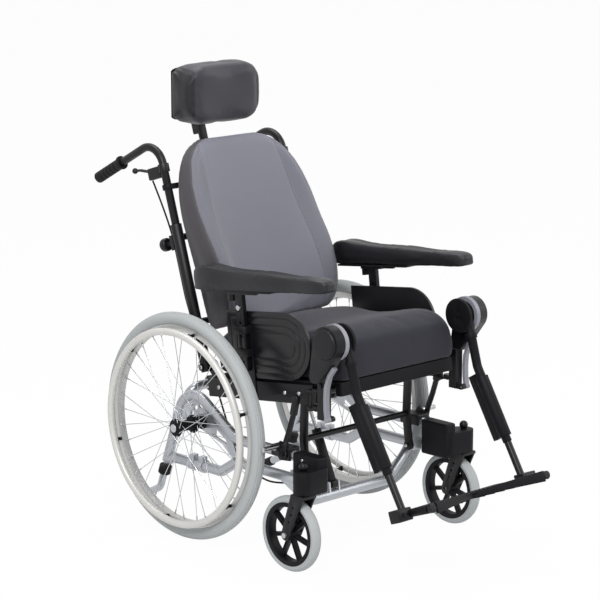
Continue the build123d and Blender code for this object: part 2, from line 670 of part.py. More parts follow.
def cable_upper():
    """The tilt cable's length along the right back tube."""
    run = [(-218, 56, 515), (-207, 36, 390), (-207, 36, 290), (-212, 31, 130), (-182, 31, 30)]
    return back_place(pipe(run, 2.5, 50))


def cable_lower():
    """The rest of the tilt cable, from the seat's hinge under the frame to the tilt spring."""
    run = [(-180, 44, 470), (-180, 26, 420), (-180, -66, 236), (-180, -160, 164), (-150, -235, 164),
           (spring_x, -262, 170), (spring_x, -287, 181.5)]
    return pipe(run, 2.5, 14)


# headrest
def headrest_bar():
    """Flat bar that slides in the receiver, with the fork that holds the pad's pin."""
    part = block(-bar_w / 2, bar_w / 2, bar_v - bar_t / 2, bar_v + bar_t / 2, 330, 690)
    part += block(-bar_w / 2, bar_w / 2, bar_v - 10, bar_v + 12, 655, 680)
    local = Vector(0, head_y - hinge_y, head_z - hinge_z)
    v = local.Y * cos(radians(back_angle)) - local.Z * sin(radians(back_angle))
    u = local.Y * sin(radians(back_angle)) + local.Z * cos(radians(back_angle))
    part += block(-12, 12, bar_v + 3, bar_v + 27, 628, 674, 3)
    ears = hull([(v, u, 10), (bar_v, 680, 8)], -bar_w / 2, -8) + hull([(v, u, 10), (bar_v, 680, 8)], 8, bar_w / 2)
    pin = rod((-bar_w / 2 - 3, v, u), (bar_w / 2 + 3, v, u), pin_r)
    return back_place(part + ears + pin)


def headrest_pad():
    """Pad with a hollowed front and full ends on its carrier plate."""
    sections = []
    for x, half, rear, front, middle, edge in ((-134, 50, 28, 20, 23, 14), (-126, 68, 40, 36, 38, 20),
                                               (-95, 76, 42, 46, 44, 24), (0, 77, 42, 40, 42, 24),
                                               (95, 76, 42, 46, 44, 24), (126, 68, 40, 36, 38, 20),
                                               (134, 50, 28, 20, 23, 14)):
        plane = Plane(origin=(x, 205, 1146), x_dir=(0, 0, 1), z_dir=(1, 0, 0))
        sections.append(padded_face(plane, half, -rear, front, middle, edge))
    pad = loft(sections)
    carrier = block(-95, 95, 244, 254, 1090, 1190, 3)
    arm = hull([(head_y, head_z, 10), (252, 1126, 18)], -7.5, 7.5)
    arm -= rod((-20, head_y, head_z), (20, head_y, head_z), pin_r + fit)
    return pad + carrier + arm


# legs
def leg_hanger():
    """Square post with its swing-away lugs and the knee housing with the pale ring."""
    half = hanger_w / 2
    post = block(hanger_x - half, hanger_x + half, hanger_y - half, hanger_y + half, 399, 506, 2)
    post += hull([(-491, 405, 7), (-474, 405, 7)], hanger_x - 7, hanger_x + 6)
    head = hull([(knee_y, knee_z, knee_r), (hanger_y - 4, 512, 14), (hanger_y + 6, 512, 14)], 243, 276)
    dome = rod((276, knee_y, knee_z), (285, knee_y, knee_z), knee_r - 4)
    dome = fillet(dome.faces().sort_by(Axis.X)[-1].edges(), 8)
    ring = rod((235.5, knee_y, knee_z), (243, knee_y, knee_z), knee_r + 2)
    pin = rod((208, knee_y, knee_z), (240, knee_y, knee_z), 8)
    part = post + head + dome + ring + pin
    part += rod((hanger_x + half - 1, hanger_y, 488), (hanger_x + half + 4, hanger_y, 488), 7)
    for z in (424.5, 468.5):
        part += column((Pos(hanger_x, swing_y) * Circle(11)).edges()
                       + (Pos(hanger_x, hanger_y + half - 3) * Rectangle(22, 6)).edges(), z, z + 6)
        part += rod((hanger_x, swing_y, z - 9), (hanger_x, swing_y, z + 2), pin_r)
    return part - rod((hanger_x - 8, -491, 405), (hanger_x + 7, -491, 405), 3 + fit)


def leg_lever():
    """Curved release lever in front of the hanger's post."""
    strip = ribbon([(-491, 405), (-487, 430), (-486, 460), (-488, 488), (-498.5, 520), (-516, 543)], 9)
    part = slab(strip, hanger_x + 7, hanger_x + 21) + rod((hanger_x + 7, -491, 405), (hanger_x + 21, -491, 405), 7)
    return part + rod((hanger_x - 6, -491, 405), (hanger_x + 8, -491, 405), 3)


def leg_upper():
    """Knee disc and the bent leg tube."""
    disc = rod((leg_x - 5, knee_y, knee_z), (leg_x + 12.5, knee_y, knee_z), knee_r - 10)
    flange = rod((leg_x - 13, knee_y, knee_z), (leg_x - 4, knee_y, knee_z), knee_r + 1)
    disc += fillet(flange.edges(), 3)
    way = Vector(0, -sin(radians(leg_angle)), -cos(radians(leg_angle)))
    end = Vector(leg_x, bend_y, bend_z) + way * 212
    slope = (bend_y + 523.5) / (bend_z - 603)
    start = (leg_x, -523.5, 603)
    tube = pipe([start, (leg_x, bend_y, bend_z), tuple(end)], leg_r, 60)
    y = -523.5 + slope * (560 - 603)
    collar = rod((leg_x, y, 560), (leg_x, y + slope * -12, 548), 15)
    part = disc + tube + collar
    part -= rod(tuple(Vector(leg_x, bend_y, bend_z) + way * 45), tuple(end + way * 5), slide_r + fit)
    return part - rod((leg_x - 30, knee_y, knee_z), (leg_x + 30, knee_y, knee_z), 8 + fit)


def calf_sleeve():
    """Sleeve on the leg tube with the flange for the calf pad's bracket."""
    body = rod((0, 0, -196), (0, 0, -30), 17)
    body += block(-7, 7, 0, 38, -196, -16)
    body += block(-10, 10, 10, 24, -190, -36, 3)
    return leg_place(body - rod((0, 0, -210), (0, 0, 30), leg_r + 0.1))


def leg_lower():
    """Sliding tube with the foot clamp, the hinge bar and its end cap."""
    tube = rod((0, 0, -leg_len), (0, 0, -62), slide_r, 7)
    part = leg_place(tube)
    clamp = block(-4, 46, -17, 17, -16, 16, 3)
    bolt = rod((24, -17, 0), (24, -23, 0), 7)
    bar = rod((0, 0, 0), (0, -92, 0), foot_bar_r)
    cap = rod((0, -84, 0), (0, -97, 0), 11)
    return part + foot_place(clamp + bolt + bar + fillet(cap.edges(), 2))


def foot_plate():
    """Moulded plate with a raised front lip, ribs below and the sleeve that turns on the hinge bar."""
    far = 10 - foot_bar_x
    outline = [(-14, -92), (far, -30), (far, 62), (far + 20, 72), (-26, 72), (-14, 60)]
    plate = extrude(Plane.XY.offset(-3) * Polygon(*outline, align=None), 8, dir=(0, 0, 1))
    edge = Plane(origin=(-12, -98, 0), x_dir=(far + 12, 62, 0), z_dir=(62, -far - 12, 0))
    length = hypot(far + 12, 62)
    lip = extrude(edge * Polygon((0, -15), (length, -5), (length, 8), (0, 13), align=None), 8)
    plate += lip - edge * Pos(0, -1, 4) * Box(30, 14, 3.5)
    for k in range(6):
        x = -44 - 27 * k
        front = -92 + (x + 14) / (far + 14) * 62
        plate += block(x - 2, x + 2, front, 66, -11, -2)
    sleeve = rod((0, -80, 0), (0, -20, 0), 10.5) + block(-20, 0, -80, -20, -6, 5)
    plate += sleeve
    plate -= block(-14 - 8, 30, -17, 80, -20, 20)
    plate -= block(-11.8, 30, -110, -82, -20, 30)
    return foot_place(plate - rod((0, -120, 0), (0, 40, 0), foot_bar_r + fit))


save_pair("rear_tyre", rear_tyre())
save_pair("rear_rim", rear_rim())
wires = spokes()
save("spokes_left", *wires)
save("spokes_right", *[mirrored(w) for w in wires])
save_pair("rear_hub", hub())
save_pair("push_rim", push_rim())
pin_set = axle()
save("wheel_axles", pin_set, mirrored(pin_set))
save_pair("castor_fork", castor_fork())
save_pair("castor_wheel", castor_wheel())
save_pair("castor_tyre", castor_tyre())
save("base_frame", base_frame())
housing = castor_housing()
save("castor_housings", housing, mirrored(housing))
bracket = wheel_lock_bracket()
save("wheel_lock_brackets", bracket, mirrored(bracket))
save_pair("wheel_lock_lever", wheel_lock_lever())
save_pair("anti_tipper", anti_tipper())
save("front_stand", front_stand())
cylinder, piston = tilt_spring()
save("tilt_cylinder", cylinder)
save("tilt_rod", piston)
save("seat_frame", seat_frame())
save("seat_pan", seat_pan())
save("seat_cushion", seat_cushion())
save("side_panels", *side_panels())
save_pair("armrest_post", armrest_post())
save_pair("arm_pad", arm_pad())
save("back_frame", back_frame())
save("back_shell", back_shell())
save("back_cushion", back_cushion())
save_pair("push_handle", push_handle())
save_pair("grip", grip())
save_pair("release_lever", release_lever())
save("tilt_cable_upper", cable_upper())
save("tilt_cable_lower", cable_lower())
save("headrest_bar", headrest_bar())
save("headrest_pad", headrest_pad())
save_pair("leg_hanger", leg_hanger())
save_pair("leg_lever", leg_lever())
save_pair("leg_upper", leg_upper())
save_pair("calf_sleeve", calf_sleeve())
save_pair("leg_lower", leg_lower())
save_pair("foot_plate", foot_plate())
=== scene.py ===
import json
from math import cos, pi, radians, sin

import bmesh
import bpy
import numpy as np
from mathutils import Matrix, Vector


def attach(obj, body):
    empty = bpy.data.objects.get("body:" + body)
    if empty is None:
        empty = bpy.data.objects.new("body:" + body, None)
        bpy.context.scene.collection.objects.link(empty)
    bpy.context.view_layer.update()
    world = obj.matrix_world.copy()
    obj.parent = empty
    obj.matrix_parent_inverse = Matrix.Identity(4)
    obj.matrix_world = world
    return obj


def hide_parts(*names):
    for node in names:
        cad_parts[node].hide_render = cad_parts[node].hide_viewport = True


# The chair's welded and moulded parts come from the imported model. Its frame has the origin on the
# floor, +Y to the rear and the occupant's left on +X; places are in metres unless a comment says mm.
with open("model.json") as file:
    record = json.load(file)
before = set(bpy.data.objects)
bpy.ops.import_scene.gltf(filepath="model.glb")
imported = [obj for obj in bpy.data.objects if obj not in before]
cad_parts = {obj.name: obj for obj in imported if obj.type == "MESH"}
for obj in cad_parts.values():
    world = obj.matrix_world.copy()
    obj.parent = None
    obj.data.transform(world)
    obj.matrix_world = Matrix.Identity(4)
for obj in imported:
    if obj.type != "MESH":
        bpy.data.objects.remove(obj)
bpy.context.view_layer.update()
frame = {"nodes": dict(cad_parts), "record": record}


# The studio: a white sweep on which the chair only just casts a shadow, large soft lamps above and
# to both sides, and the photographer's long lens 2 m up, looking slightly down.
FOCAL_PX, FRAME_PX, SENSOR_MM = 2424, 600, 36
CAMERA_PLACE = (-4.368, -4.502, 1.960)
CAMERA_RISE, CAMERA_TURN = 78, -43.8     # degrees, from straight down and from straight ahead
FLOOR_REACH = 30.0
FLOOR_WHITE = 0.97       # share of pure white in the floor; the rest takes the chair's shadow
SKY_LIGHT = 0.36
LAMP_AIM = Vector((0, 0, 0.6))
LAMPS = (("key_lamp", (-2.6, -2.2, 3.4), 2.0, 118), ("fill_lamp", (2.8, -2.4, 2.4), 2.4, 42),
         ("top_lamp", (0.2, 0.8, 3.6), 2.0, 62))     # name, place, width in m, watts


def add(tree, kind, links=(), **settings):
    """A node of that kind. Settings named in_X_Y set input "X Y"; links are (input, output socket)."""
    made = tree.nodes.new(kind)
    for key, value in settings.items():
        if key.startswith("in_"):
            label = key[3:]
            made.inputs[int(label) if label.isdigit() else label.replace("_", " ")].default_value = value
        else:
            setattr(made, key, value)
    for socket, source in links:
        tree.links.new(source, made.inputs[socket])
    return made


def blank_material(name):
    made = bpy.data.materials.new(name)
    made.use_nodes = True
    made.node_tree.nodes.clear()
    return made, made.node_tree


def seen_directly(tree):
    """1 for what the camera sees, also in a mirror or through glass, and 0 for what lights the chair."""
    path = add(tree, "ShaderNodeLightPath")
    glossy = add(tree, "ShaderNodeMath",
                 [(0, path.outputs["Is Camera Ray"]), (1, path.outputs["Is Glossy Ray"])],
                 operation="MAXIMUM")
    seen = add(tree, "ShaderNodeMath", [(0, glossy.outputs[0]), (1, path.outputs["Is Transmission Ray"])],
               operation="MAXIMUM")
    return seen.outputs[0]


camera_data = bpy.data.cameras.new("studio_camera")
camera_data.lens = SENSOR_MM * FOCAL_PX / FRAME_PX
camera_data.clip_end = 50
camera = bpy.data.objects.new("studio_camera", camera_data)
bpy.context.collection.objects.link(camera)
camera.location = CAMERA_PLACE
camera.rotation_euler = (radians(CAMERA_RISE), 0, radians(CAMERA_TURN))
bpy.context.scene.camera = camera

sweep_mesh = bpy.data.meshes.new("studio_floor")
corners = [(x * FLOOR_REACH, y * FLOOR_REACH, 0) for x, y in ((-1, -1), (1, -1), (1, 1), (-1, 1))]
sweep_mesh.from_pydata(corners, [], [(0, 1, 2, 3)])
floor = bpy.data.objects.new("studio_floor", sweep_mesh)
bpy.context.collection.objects.link(floor)
# Seamless background paper: pure white to the eye, with a trace of shadow under the wheels.
paper, tree = blank_material("studio_paper")
share = add(tree, "ShaderNodeMath", [(0, seen_directly(tree))], operation="MULTIPLY", in_1=FLOOR_WHITE)
matt = add(tree, "ShaderNodeBsdfDiffuse", in_Color=(0.9, 0.9, 0.9, 1))
glow = add(tree, "ShaderNodeEmission", in_Color=(1, 1, 1, 1), in_Strength=1.0)
mixed = add(tree, "ShaderNodeMixShader", [(0, share.outputs[0]), (1, matt.outputs[0]), (2, glow.outputs[0])])
add(tree, "ShaderNodeOutputMaterial", [("Surface", mixed.outputs[0])])
floor.data.materials.append(paper)

world = bpy.data.worlds.new("studio_world")
world.use_nodes = True
world.node_tree.nodes.clear()
tree = world.node_tree
soft_sky = add(tree, "ShaderNodeBackground", in_Color=(1, 1, 1, 1), in_Strength=SKY_LIGHT)
white_sky = add(tree, "ShaderNodeBackground", in_Color=(1, 1, 1, 1), in_Strength=1.0)
mixed = add(tree, "ShaderNodeMixShader",
            [(0, seen_directly(tree)), (1, soft_sky.outputs[0]), (2, white_sky.outputs[0])])
add(tree, "ShaderNodeOutputWorld", [("Surface", mixed.outputs[0])])
bpy.context.scene.world = world

for name, place, width, watts in LAMPS:
    lamp = bpy.data.lights.new(name, "AREA")
    lamp.size = width
    lamp.energy = watts
    lamp_object = bpy.data.objects.new(name, lamp)
    bpy.context.collection.objects.link(lamp_object)
    lamp_object.location = place
    lamp_object.rotation_euler = (Vector(place) - LAMP_AIM).to_track_quat("Z", "Y").to_euler()
bpy.context.scene.view_settings.view_transform = "Standard"


# Base frame: precision steel tube, bent and welded to laser cut axle plates and powder coated in
# silver. Brackets, plates and clamps are held to it by zinc plated button head screws.
WHEEL_X, WHEEL_Y, WHEEL_Z = 0.305, 0.176, 0.305     # middle of the left rear wheel
WELD = 2e-6              # points closer than this are one
EDGE_ROUND = 0.0006
BUTTON = ((1, -0.1), (1, 0.22), (0.92, 0.42), (0.72, 0.6), (0.48, 0.68))     # a head's radii and heights
SOCKET_HALF, SOCKET_HEIGHTS, BUTTON_SIDES = 0.36, (0.68, 0.2), 24
BASE_SCREWS = [(257.2, -400, 282, (1, 0, 0)), (257.2, -400, 222, (1, 0, 0)), (240.6, 44, 345, (1, 0, 0)),
               (240.6, -44, 275, (1, 0, 0)), (259.2, -300, 292, (1, 0, 0)), (178, -347, 228, (-1, 0, 0))]


def linear(code):
    """Scene linear colour of an sRGB hex code."""
    parts = [int(code[i:i + 2], 16) / 255 for i in (1, 3, 5)]
    return tuple(p / 12.92 if p <= 0.04045 else ((p + 0.055) / 1.055) ** 2.4 for p in parts) + (1.0,)


def surface(name, colour, rough, metallic=0.0, grain=1.0, bump=0.1, tone=0.06, edge_highlight=0.0, **shader):
    """A procedural finish: grain is its pattern's size in mm, tone its share of colour variation.

    Its edges are painted paler, as a painted highlight, by the amount given after tone.
    """
    made, tree = blank_material(name)
    where = add(tree, "ShaderNodeTexCoord")
    fine = add(tree, "ShaderNodeTexNoise", [("Vector", where.outputs["Object"])],
               in_Scale=1000 / grain / 2, in_Detail=3.0)
    broad = add(tree, "ShaderNodeTexNoise", [("Vector", where.outputs["Object"])],
                in_Scale=9.0, in_Detail=4.0)
    mingled = add(tree, "ShaderNodeMath", [(0, fine.outputs[0]), (1, broad.outputs[0])], operation="ADD")
    halved = add(tree, "ShaderNodeMath", [(0, mingled.outputs[0])], operation="MULTIPLY", in_1=0.5)
    base = linear(colour)
    ramp = add(tree, "ShaderNodeValToRGB", [(0, halved.outputs[0])])
    darkest, palest = ramp.color_ramp.elements
    darkest.position, palest.position = 0.35, 0.65
    darkest.color = tuple(c * (1 - tone) for c in base[:3]) + (1,)
    palest.color = tuple(min(1, c * (1 + tone)) for c in base[:3]) + (1,)
    roughness = add(tree, "ShaderNodeMapRange", [(0, broad.outputs[0])], in_1=0.3, in_2=0.7,
                    in_3=max(0.02, rough - 0.05), in_4=min(1, rough + 0.05))
    relief = add(tree, "ShaderNodeBump", [("Height", fine.outputs[0])], in_Strength=bump,
                 in_Distance=grain / 2000)
    colour_out = ramp.outputs[0]
    # Painted highlight: edges, found by their pointiness, are painted paler as though the light caught them.
    if edge_highlight:
        edge = add(tree, "ShaderNodeNewGeometry")
        edge_lit = add(tree, "ShaderNodeMapRange", [(0, edge.outputs["Pointiness"])], in_1=0.53, in_2=0.62,
                     in_3=0.0, in_4=edge_highlight)
        highlight_colour = tuple(min(1, c * 1.8 + 0.05) for c in base[:3]) + (1,)
        highlighted = add(tree, "ShaderNodeMix", [(0, edge_lit.outputs[0]), (6, colour_out)],
                   data_type="RGBA", in_7=highlight_colour)
        colour_out = highlighted.outputs[2]
    body = add(tree, "ShaderNodeBsdfPrincipled",
               [("Base Color", colour_out), ("Roughness", roughness.outputs[0]),
                ("Normal", relief.outputs[0])],
               in_Metallic=metallic, **shader)
    add(tree, "ShaderNodeOutputMaterial", [("Surface", body.outputs[0])])
    return made


def body_of(node):
    return next(b for b, nodes in frame["record"]["behaviour"]["bodies"].items() if node in nodes)


def link_mesh(name, mesh, material):
    """A piece from a finished mesh, at the origin, with its finish."""
    piece = bpy.data.objects.new(name, mesh)
    bpy.context.collection.objects.link(piece)
    mesh.materials.clear()
    mesh.materials.append(material)
    return piece


def stand_for(piece, node):
    """The piece takes the CAD node's place on its body."""
    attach(piece, body_of(node))
    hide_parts(node)


def applied(piece):
    """Turns the piece and its modifiers into a plain mesh."""
    graph = bpy.context.evaluated_depsgraph_get()
    done = bpy.data.meshes.new_from_object(piece.evaluated_get(graph))
    piece.modifiers.clear()
    piece.data = done


def mesh_of(name, shape):
    """A mesh from a bmesh, which is freed."""
    mesh = bpy.data.meshes.new(name)
    shape.to_mesh(mesh)
    shape.free()
    return mesh


def crisp(mesh, degrees):
    """Smooth shading that breaks at edges sharper than this."""
    mesh.shade_smooth()
    mesh.set_sharp_from_angle(angle=radians(degrees))


def merged_copy(node):
    shape = bmesh.new()
    shape.from_mesh(frame["nodes"][node].data)
    bmesh.ops.remove_doubles(shape, verts=shape.verts, dist=WELD)
    return shape


def finish_nodes(material, *names):
    """Smooths a copy of each CAD piece, eases its sharp edges by a small radius and finishes it."""
    made = []
    for node in (name + side for name in names for side in ("", "_left", "_right")):
        if node not in frame["nodes"]:
            continue
        shape = merged_copy(node)
        bmesh.ops.dissolve_limit(shape, angle_limit=radians(0.5), verts=shape.verts, edges=shape.edges)
        piece = link_mesh(node + "_finished", mesh_of(node + "_finished", shape), material)
        eased = piece.modifiers.new("eased", "BEVEL")
        eased.width = EDGE_ROUND
        eased.segments = 2
        eased.limit_method = "ANGLE"
        eased.angle_limit = radians(40)
        eased.use_clamp_overlap = True
        applied(piece)
        crisp(piece.data, 35)
        stand_for(piece, node)
        made.append(piece)
    return made


def new_pattern(name, inputs):
    """A Geometry Nodes tree with these inputs and a geometry output, and its input node."""
    group = bpy.data.node_groups.new(name, "GeometryNodeTree")
    for label, kind in inputs.items():
        group.interface.new_socket(label, in_out="INPUT", socket_type="NodeSocket" + kind)
    group.interface.new_socket("Geometry", in_out="OUTPUT", socket_type="NodeSocketGeometry")
    return group, add(group, "NodeGroupInput")


def end_pattern(group, given, copies):
    """Ends a tree: its copies become one real mesh in the finish it was given."""
    real = add(group, "GeometryNodeRealizeInstances", [("Geometry", copies.outputs[0])])
    coated = add(group, "GeometryNodeSetMaterial",
                 [("Geometry", real.outputs[0]), ("Material", given.outputs["Finish"])])
    add(group, "NodeGroupOutput", [("Geometry", coated.outputs[0])])


def grown(name, mesh, group, values):
    """The plain piece that a tree makes from a mesh. The single piece that it copied is deleted."""
    carrier = bpy.data.objects.new(name, mesh)
    bpy.context.collection.objects.link(carrier)
    pattern = carrier.modifiers.new("copies", "NODES")
    pattern.node_group = group
    for item in group.interface.items_tree:
        if item.in_out == "INPUT" and item.name in values:
            pattern[item.identifier] = values[item.name]
    applied(carrier)
    bpy.data.objects.remove(values["Piece"])
    return carrier


def screw_head():
    """A button head with a hex socket, on +Z, of 1 m radius: the pattern scales it."""
    angles = [2 * pi * k / BUTTON_SIDES for k in range(BUTTON_SIDES)]
    hexagon = [SOCKET_HALF / cos((a + pi / 6) % (pi / 3) - pi / 6) for a in angles]
    shape = bmesh.new()
    rows = [[shape.verts.new((radius * cos(a), radius * sin(a), height)) for a in angles]
            for radius, height in BUTTON]
    rows += [[shape.verts.new((radius * cos(a), radius * sin(a), height))
              for a, radius in zip(angles, hexagon)] for height in SOCKET_HEIGHTS]
    for lower, upper in zip(rows[:-1], rows[1:]):
        for k in range(BUTTON_SIDES):
            j = (k + 1) % BUTTON_SIDES
            shape.faces.new((lower[k], lower[j], upper[j], upper[k]))
    shape.faces.new(rows[-1])
    shape.faces.new(rows[0][::-1])
    bmesh.ops.recalc_face_normals(shape, faces=shape.faces)
    mesh = mesh_of("screw_head", shape)
    crisp(mesh, 35)
    piece = bpy.data.objects.new("screw_head", mesh)
    bpy.context.collection.objects.link(piece)
    return piece


def marked_points(name, places, **directions):
    """Loose points that carry directions as attributes."""
    mesh = bpy.data.meshes.new(name)
    mesh.from_pydata(places, [], [])
    for label, values in directions.items():
        for item, value in zip(mesh.attributes.new(label, "FLOAT_VECTOR", "POINT").data, values):
            item.vector = value
    return mesh


def screws(name, spots, body, material, radius):
    """Geometry Nodes: a head of that radius in mm on each spot, and on the other side of the chair.

    spots are (x, y from the rear axle, z, outward direction) in mm.
    """
    spots = spots + [(-x, y, z, (-out[0], out[1], out[2])) for x, y, z, out in spots]
    points = marked_points(name, [(x / 1000, y / 1000 + WHEEL_Y, z / 1000) for x, y, z, _ in spots],
                           facing=[spot[3] for spot in spots])
    group, given = new_pattern(name, {"Points": "Geometry", "Piece": "Object", "Head radius": "Float",
                                      "Finish": "Material"})
    shape = add(group, "GeometryNodeObjectInfo", [("Object", given.outputs["Piece"])])
    way = add(group, "GeometryNodeInputNamedAttribute", data_type="FLOAT_VECTOR", in_Name="facing")
    turn = add(group, "FunctionNodeAlignRotationToVector", [("Vector", way.outputs[0])], axis="Z")
    placed = add(group, "GeometryNodeInstanceOnPoints",
                 [("Points", given.outputs["Points"]), ("Instance", shape.outputs["Geometry"]),
                  ("Rotation", turn.outputs[0]), ("Scale", given.outputs["Head radius"])])
    end_pattern(group, given, placed)
    carrier = grown(name, points, group,
                    {"Piece": screw_head(), "Head radius": radius / 1000, "Finish": material})
    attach(carrier, body)


# Powder coat: a satin silver grey with fine flake and slight orange peel; its edges carry a painted
# highlight.
silver_coat = surface("silver_powder_coat", "#b3b6bb", 0.33, metallic=0.75, grain=0.9, bump=0.06, tone=0.05,
                      edge_highlight=0.3)
# Zinc plate: small bright glints on pins, bolts and screws.
steel = surface("bright_zinc_steel", "#b9babd", 0.25, metallic=1.0, grain=2.0, bump=0.05, tone=0.05)
finish_nodes(silver_coat, "base_frame")
screws("base_screws", BASE_SCREWS, "base", steel, 4.5)


# Front stand: two steel bars on a cross shaft, bolted to the base frame, whose saddles carry the
# seat's front tube when the chair is upright.
# Black powder coat: satin, dark grey where the light catches it; its edges carry a painted highlight.
black_coat = surface("black_powder_coat", "#0e0d11", 0.38, grain=1.2, bump=0.1, tone=0.15, edge_highlight=0.2,
                     in_Specular_IOR_Level=0.28)
finish_nodes(black_coat, "front_stand")


# Castors: moulded housings that join the rails' ends, steel forks that swivel in them, and moulded
# seven spoke wheels with solid grey tyres on a bolt through each fork.
def beside(low_x, high_x, y, z, reach):
    """Chooses faces that far out to either side and within reach of a line across the chair, in mm."""
    return lambda point: (low_x < 1000 * abs(point.x) < high_x
                          and (1000 * point.y - y) ** 2 + (1000 * point.z - z) ** 2 < reach ** 2)


def second_finish(pieces, material, chosen):
    """Gives the faces whose centre is chosen another finish."""
    for piece in pieces:
        piece.data.materials.append(material)
        for face in piece.data.polygons:
            if chosen(face.center):
                face.material_index = 1


# Glass filled nylon: a dull near black with the fine texture of a spark eroded mould.
moulded = surface("moulded_black_nylon", "#100f13", 0.55, grain=1.0, bump=0.25, tone=0.12,
                  in_Specular_IOR_Level=0.16)
# Polyurethane foam tyre: an even, chalky blue grey.
tread = surface("grey_polyurethane", "#b0b4b5", 0.6, grain=1.5, bump=0.15, tone=0.04)
bolt_head, bolt_nut = beside(271.5, 274.2, -227, 99, 9), beside(321.6, 328, -227, 99, 9)
finish_nodes(moulded, "castor_housings", "castor_wheel")
second_finish(finish_nodes(black_coat, "castor_fork"), steel,
              lambda point: bolt_head(point) or bolt_nut(point))
finish_nodes(tread, "castor_tyre")


# Rear wheels: a grey solid tyre on a double wall alloy rim, laced with 36 stainless spokes to a
# hub, and a coated push rim on six small black blocks. Each slides off on its quick release axle.
RING_STEPS = 192
# Sizes are in mm, across from the wheel's middle and out from its axle, and angles in degrees.
TYRE_R, TYRE_MIDDLE, TYRE_SEAT, TYRE_HALF_SEAT = 18.0, 287.0, 273.3, 11.0
GROOVE_ANGLES, GROOVE_HALF_ANGLE, GROOVE_DEPTH = (14, 34), 2.4, 0.9
RIM_LOOP = [(-12, 273), (-12, 262), (-9, 256.5), (-4, 256), (4, 256), (9, 256.5), (12, 262), (12, 273),
            (9.5, 273), (9.5, 264), (6, 261), (-6, 261), (-9.5, 264), (-9.5, 273)]
HUB_LOOP = [(-39, 6.4), (-39, 14), (-37, 15.2), (-31, 16.8), (-30.5, 24), (-27.5, 24), (-27, 17), (-20, 14.5),
            (0, 13.6), (20, 14.5), (27, 17), (27.5, 24), (30.5, 24), (31, 16.8), (32.5, 15.4), (34, 14),
            (34, 6.4)]
SPOKE_GROUPS, SPOKE_STEP, SPOKE_LEAD, SPOKE_R, NIPPLE_R = 9, 10, 58, 0.95, 1.9
FLANGE_X, FLANGE_HOLES_R, SPOKE_END_R, RIM_OFFSET = 29, 21.5, 255.7, 3
OUTER_HEAD, INNER_HEAD, HEAD_DEPTH, NIPPLE_SHARE = 6.0, -2.9, 1.7, 0.05
PUSH_X, PUSH_R, PUSH_TUBE_R = 37, 258, 9.5
BLOCKS, BLOCK_FIRST = 6, 12
AXLE_CAP_X = 339         # from the chair's middle


def lathe(name, profile, centre, steps, material):
    """A closed ring about X: profile is a loop of (x, radius) in mm from the wheel's centre."""
    shape = bmesh.new()
    rows = []
    for k in range(steps):
        a = 2 * pi * k / steps
        rows.append([shape.verts.new((centre[0] + x / 1000, centre[1] + r / 1000 * cos(a),
                                      centre[2] + r / 1000 * sin(a))) for x, r in profile])
    for row, after in zip(rows, rows[1:] + rows[:1]):
        for i in range(len(profile)):
            j = (i + 1) % len(profile)
            shape.faces.new((row[i], row[j], after[j], after[i]))
    bmesh.ops.recalc_face_normals(shape, faces=shape.faces)
    mesh = mesh_of(name, shape)
    crisp(mesh, 32)
    return link_mesh(name, mesh, material)


def arc_points(cx, cy, radius, start, stop, count):
    angles = [radians(start + (stop - start) * i / count) for i in range(count + 1)]
    return [(cx + radius * cos(a), cy + radius * sin(a)) for a in angles]


def tyre_profile():
    """Round section with a flat seat, and two shallow grooves down each side of the tread."""
    loop = []
    for x, r in arc_points(0, TYRE_MIDDLE, TYRE_R, -55, 235, 72):
        turn = abs(np.degrees(np.arctan2(x, r - TYRE_MIDDLE)))
        cut = GROOVE_DEPTH if any(abs(turn - g) < GROOVE_HALF_ANGLE for g in GROOVE_ANGLES) else 0.0
        scale = (TYRE_R - cut) / TYRE_R
        if r > TYRE_SEAT:
            loop.append((x * scale, TYRE_MIDDLE + (r - TYRE_MIDDLE) * scale))
    return loop + [(-TYRE_HALF_SEAT, TYRE_SEAT), (TYRE_HALF_SEAT, TYRE_SEAT)]


def repeated(name, piece, copies, centre, material, first=0.0):
    """Geometry Nodes: equal copies of a piece round the X axis, then moved to the wheel's centre."""
    group, given = new_pattern(name, {"Piece": "Object", "Copies": "Int", "First angle": "Float",
                                      "Finish": "Material"})
    count = given.outputs["Copies"]
    places = add(group, "GeometryNodeMeshLine", [("Count", count)], in_Offset=(0, 0, 0))
    shape = add(group, "GeometryNodeObjectInfo", [("Object", given.outputs["Piece"])])
    index = add(group, "GeometryNodeInputIndex")
    step = add(group, "ShaderNodeMath", [(1, count)], operation="DIVIDE", in_0=2 * pi)
    turn = add(group, "ShaderNodeMath", [(0, index.outputs[0]), (1, step.outputs[0]),
                                         (2, given.outputs["First angle"])], operation="MULTIPLY_ADD")
    angles = add(group, "ShaderNodeCombineXYZ", [("X", turn.outputs[0])])
    placed = add(group, "GeometryNodeInstanceOnPoints",
                 [("Points", places.outputs[0]), ("Instance", shape.outputs["Geometry"]),
                  ("Rotation", angles.outputs[0])])
    end_pattern(group, given, placed)
    carrier = grown(name, bpy.data.meshes.new(name), group,
                    {"Piece": piece, "Copies": copies, "First angle": first, "Finish": material})
    carrier.data.transform(Matrix.Translation(centre))
    return carrier


def bar_mesh(name, runs, sides=8):
    """Round bars in mm: each run is (start, end, radius)."""
    shape = bmesh.new()
    for start, end, radius in runs:
        start, end = Vector(start) / 1000, Vector(end) / 1000
        turned = (end - start).to_track_quat("Z", "Y").to_matrix().to_4x4()
        bmesh.ops.create_cone(shape, cap_ends=True, segments=sides, radius1=radius / 1000,
                              radius2=radius / 1000, depth=(end - start).length,
                              matrix=Matrix.Translation((start + end) / 2) @ turned)
    mesh = mesh_of(name, shape)
    crisp(mesh, 50)
    piece = bpy.data.objects.new(name, mesh)
    bpy.context.collection.objects.link(piece)
    return piece


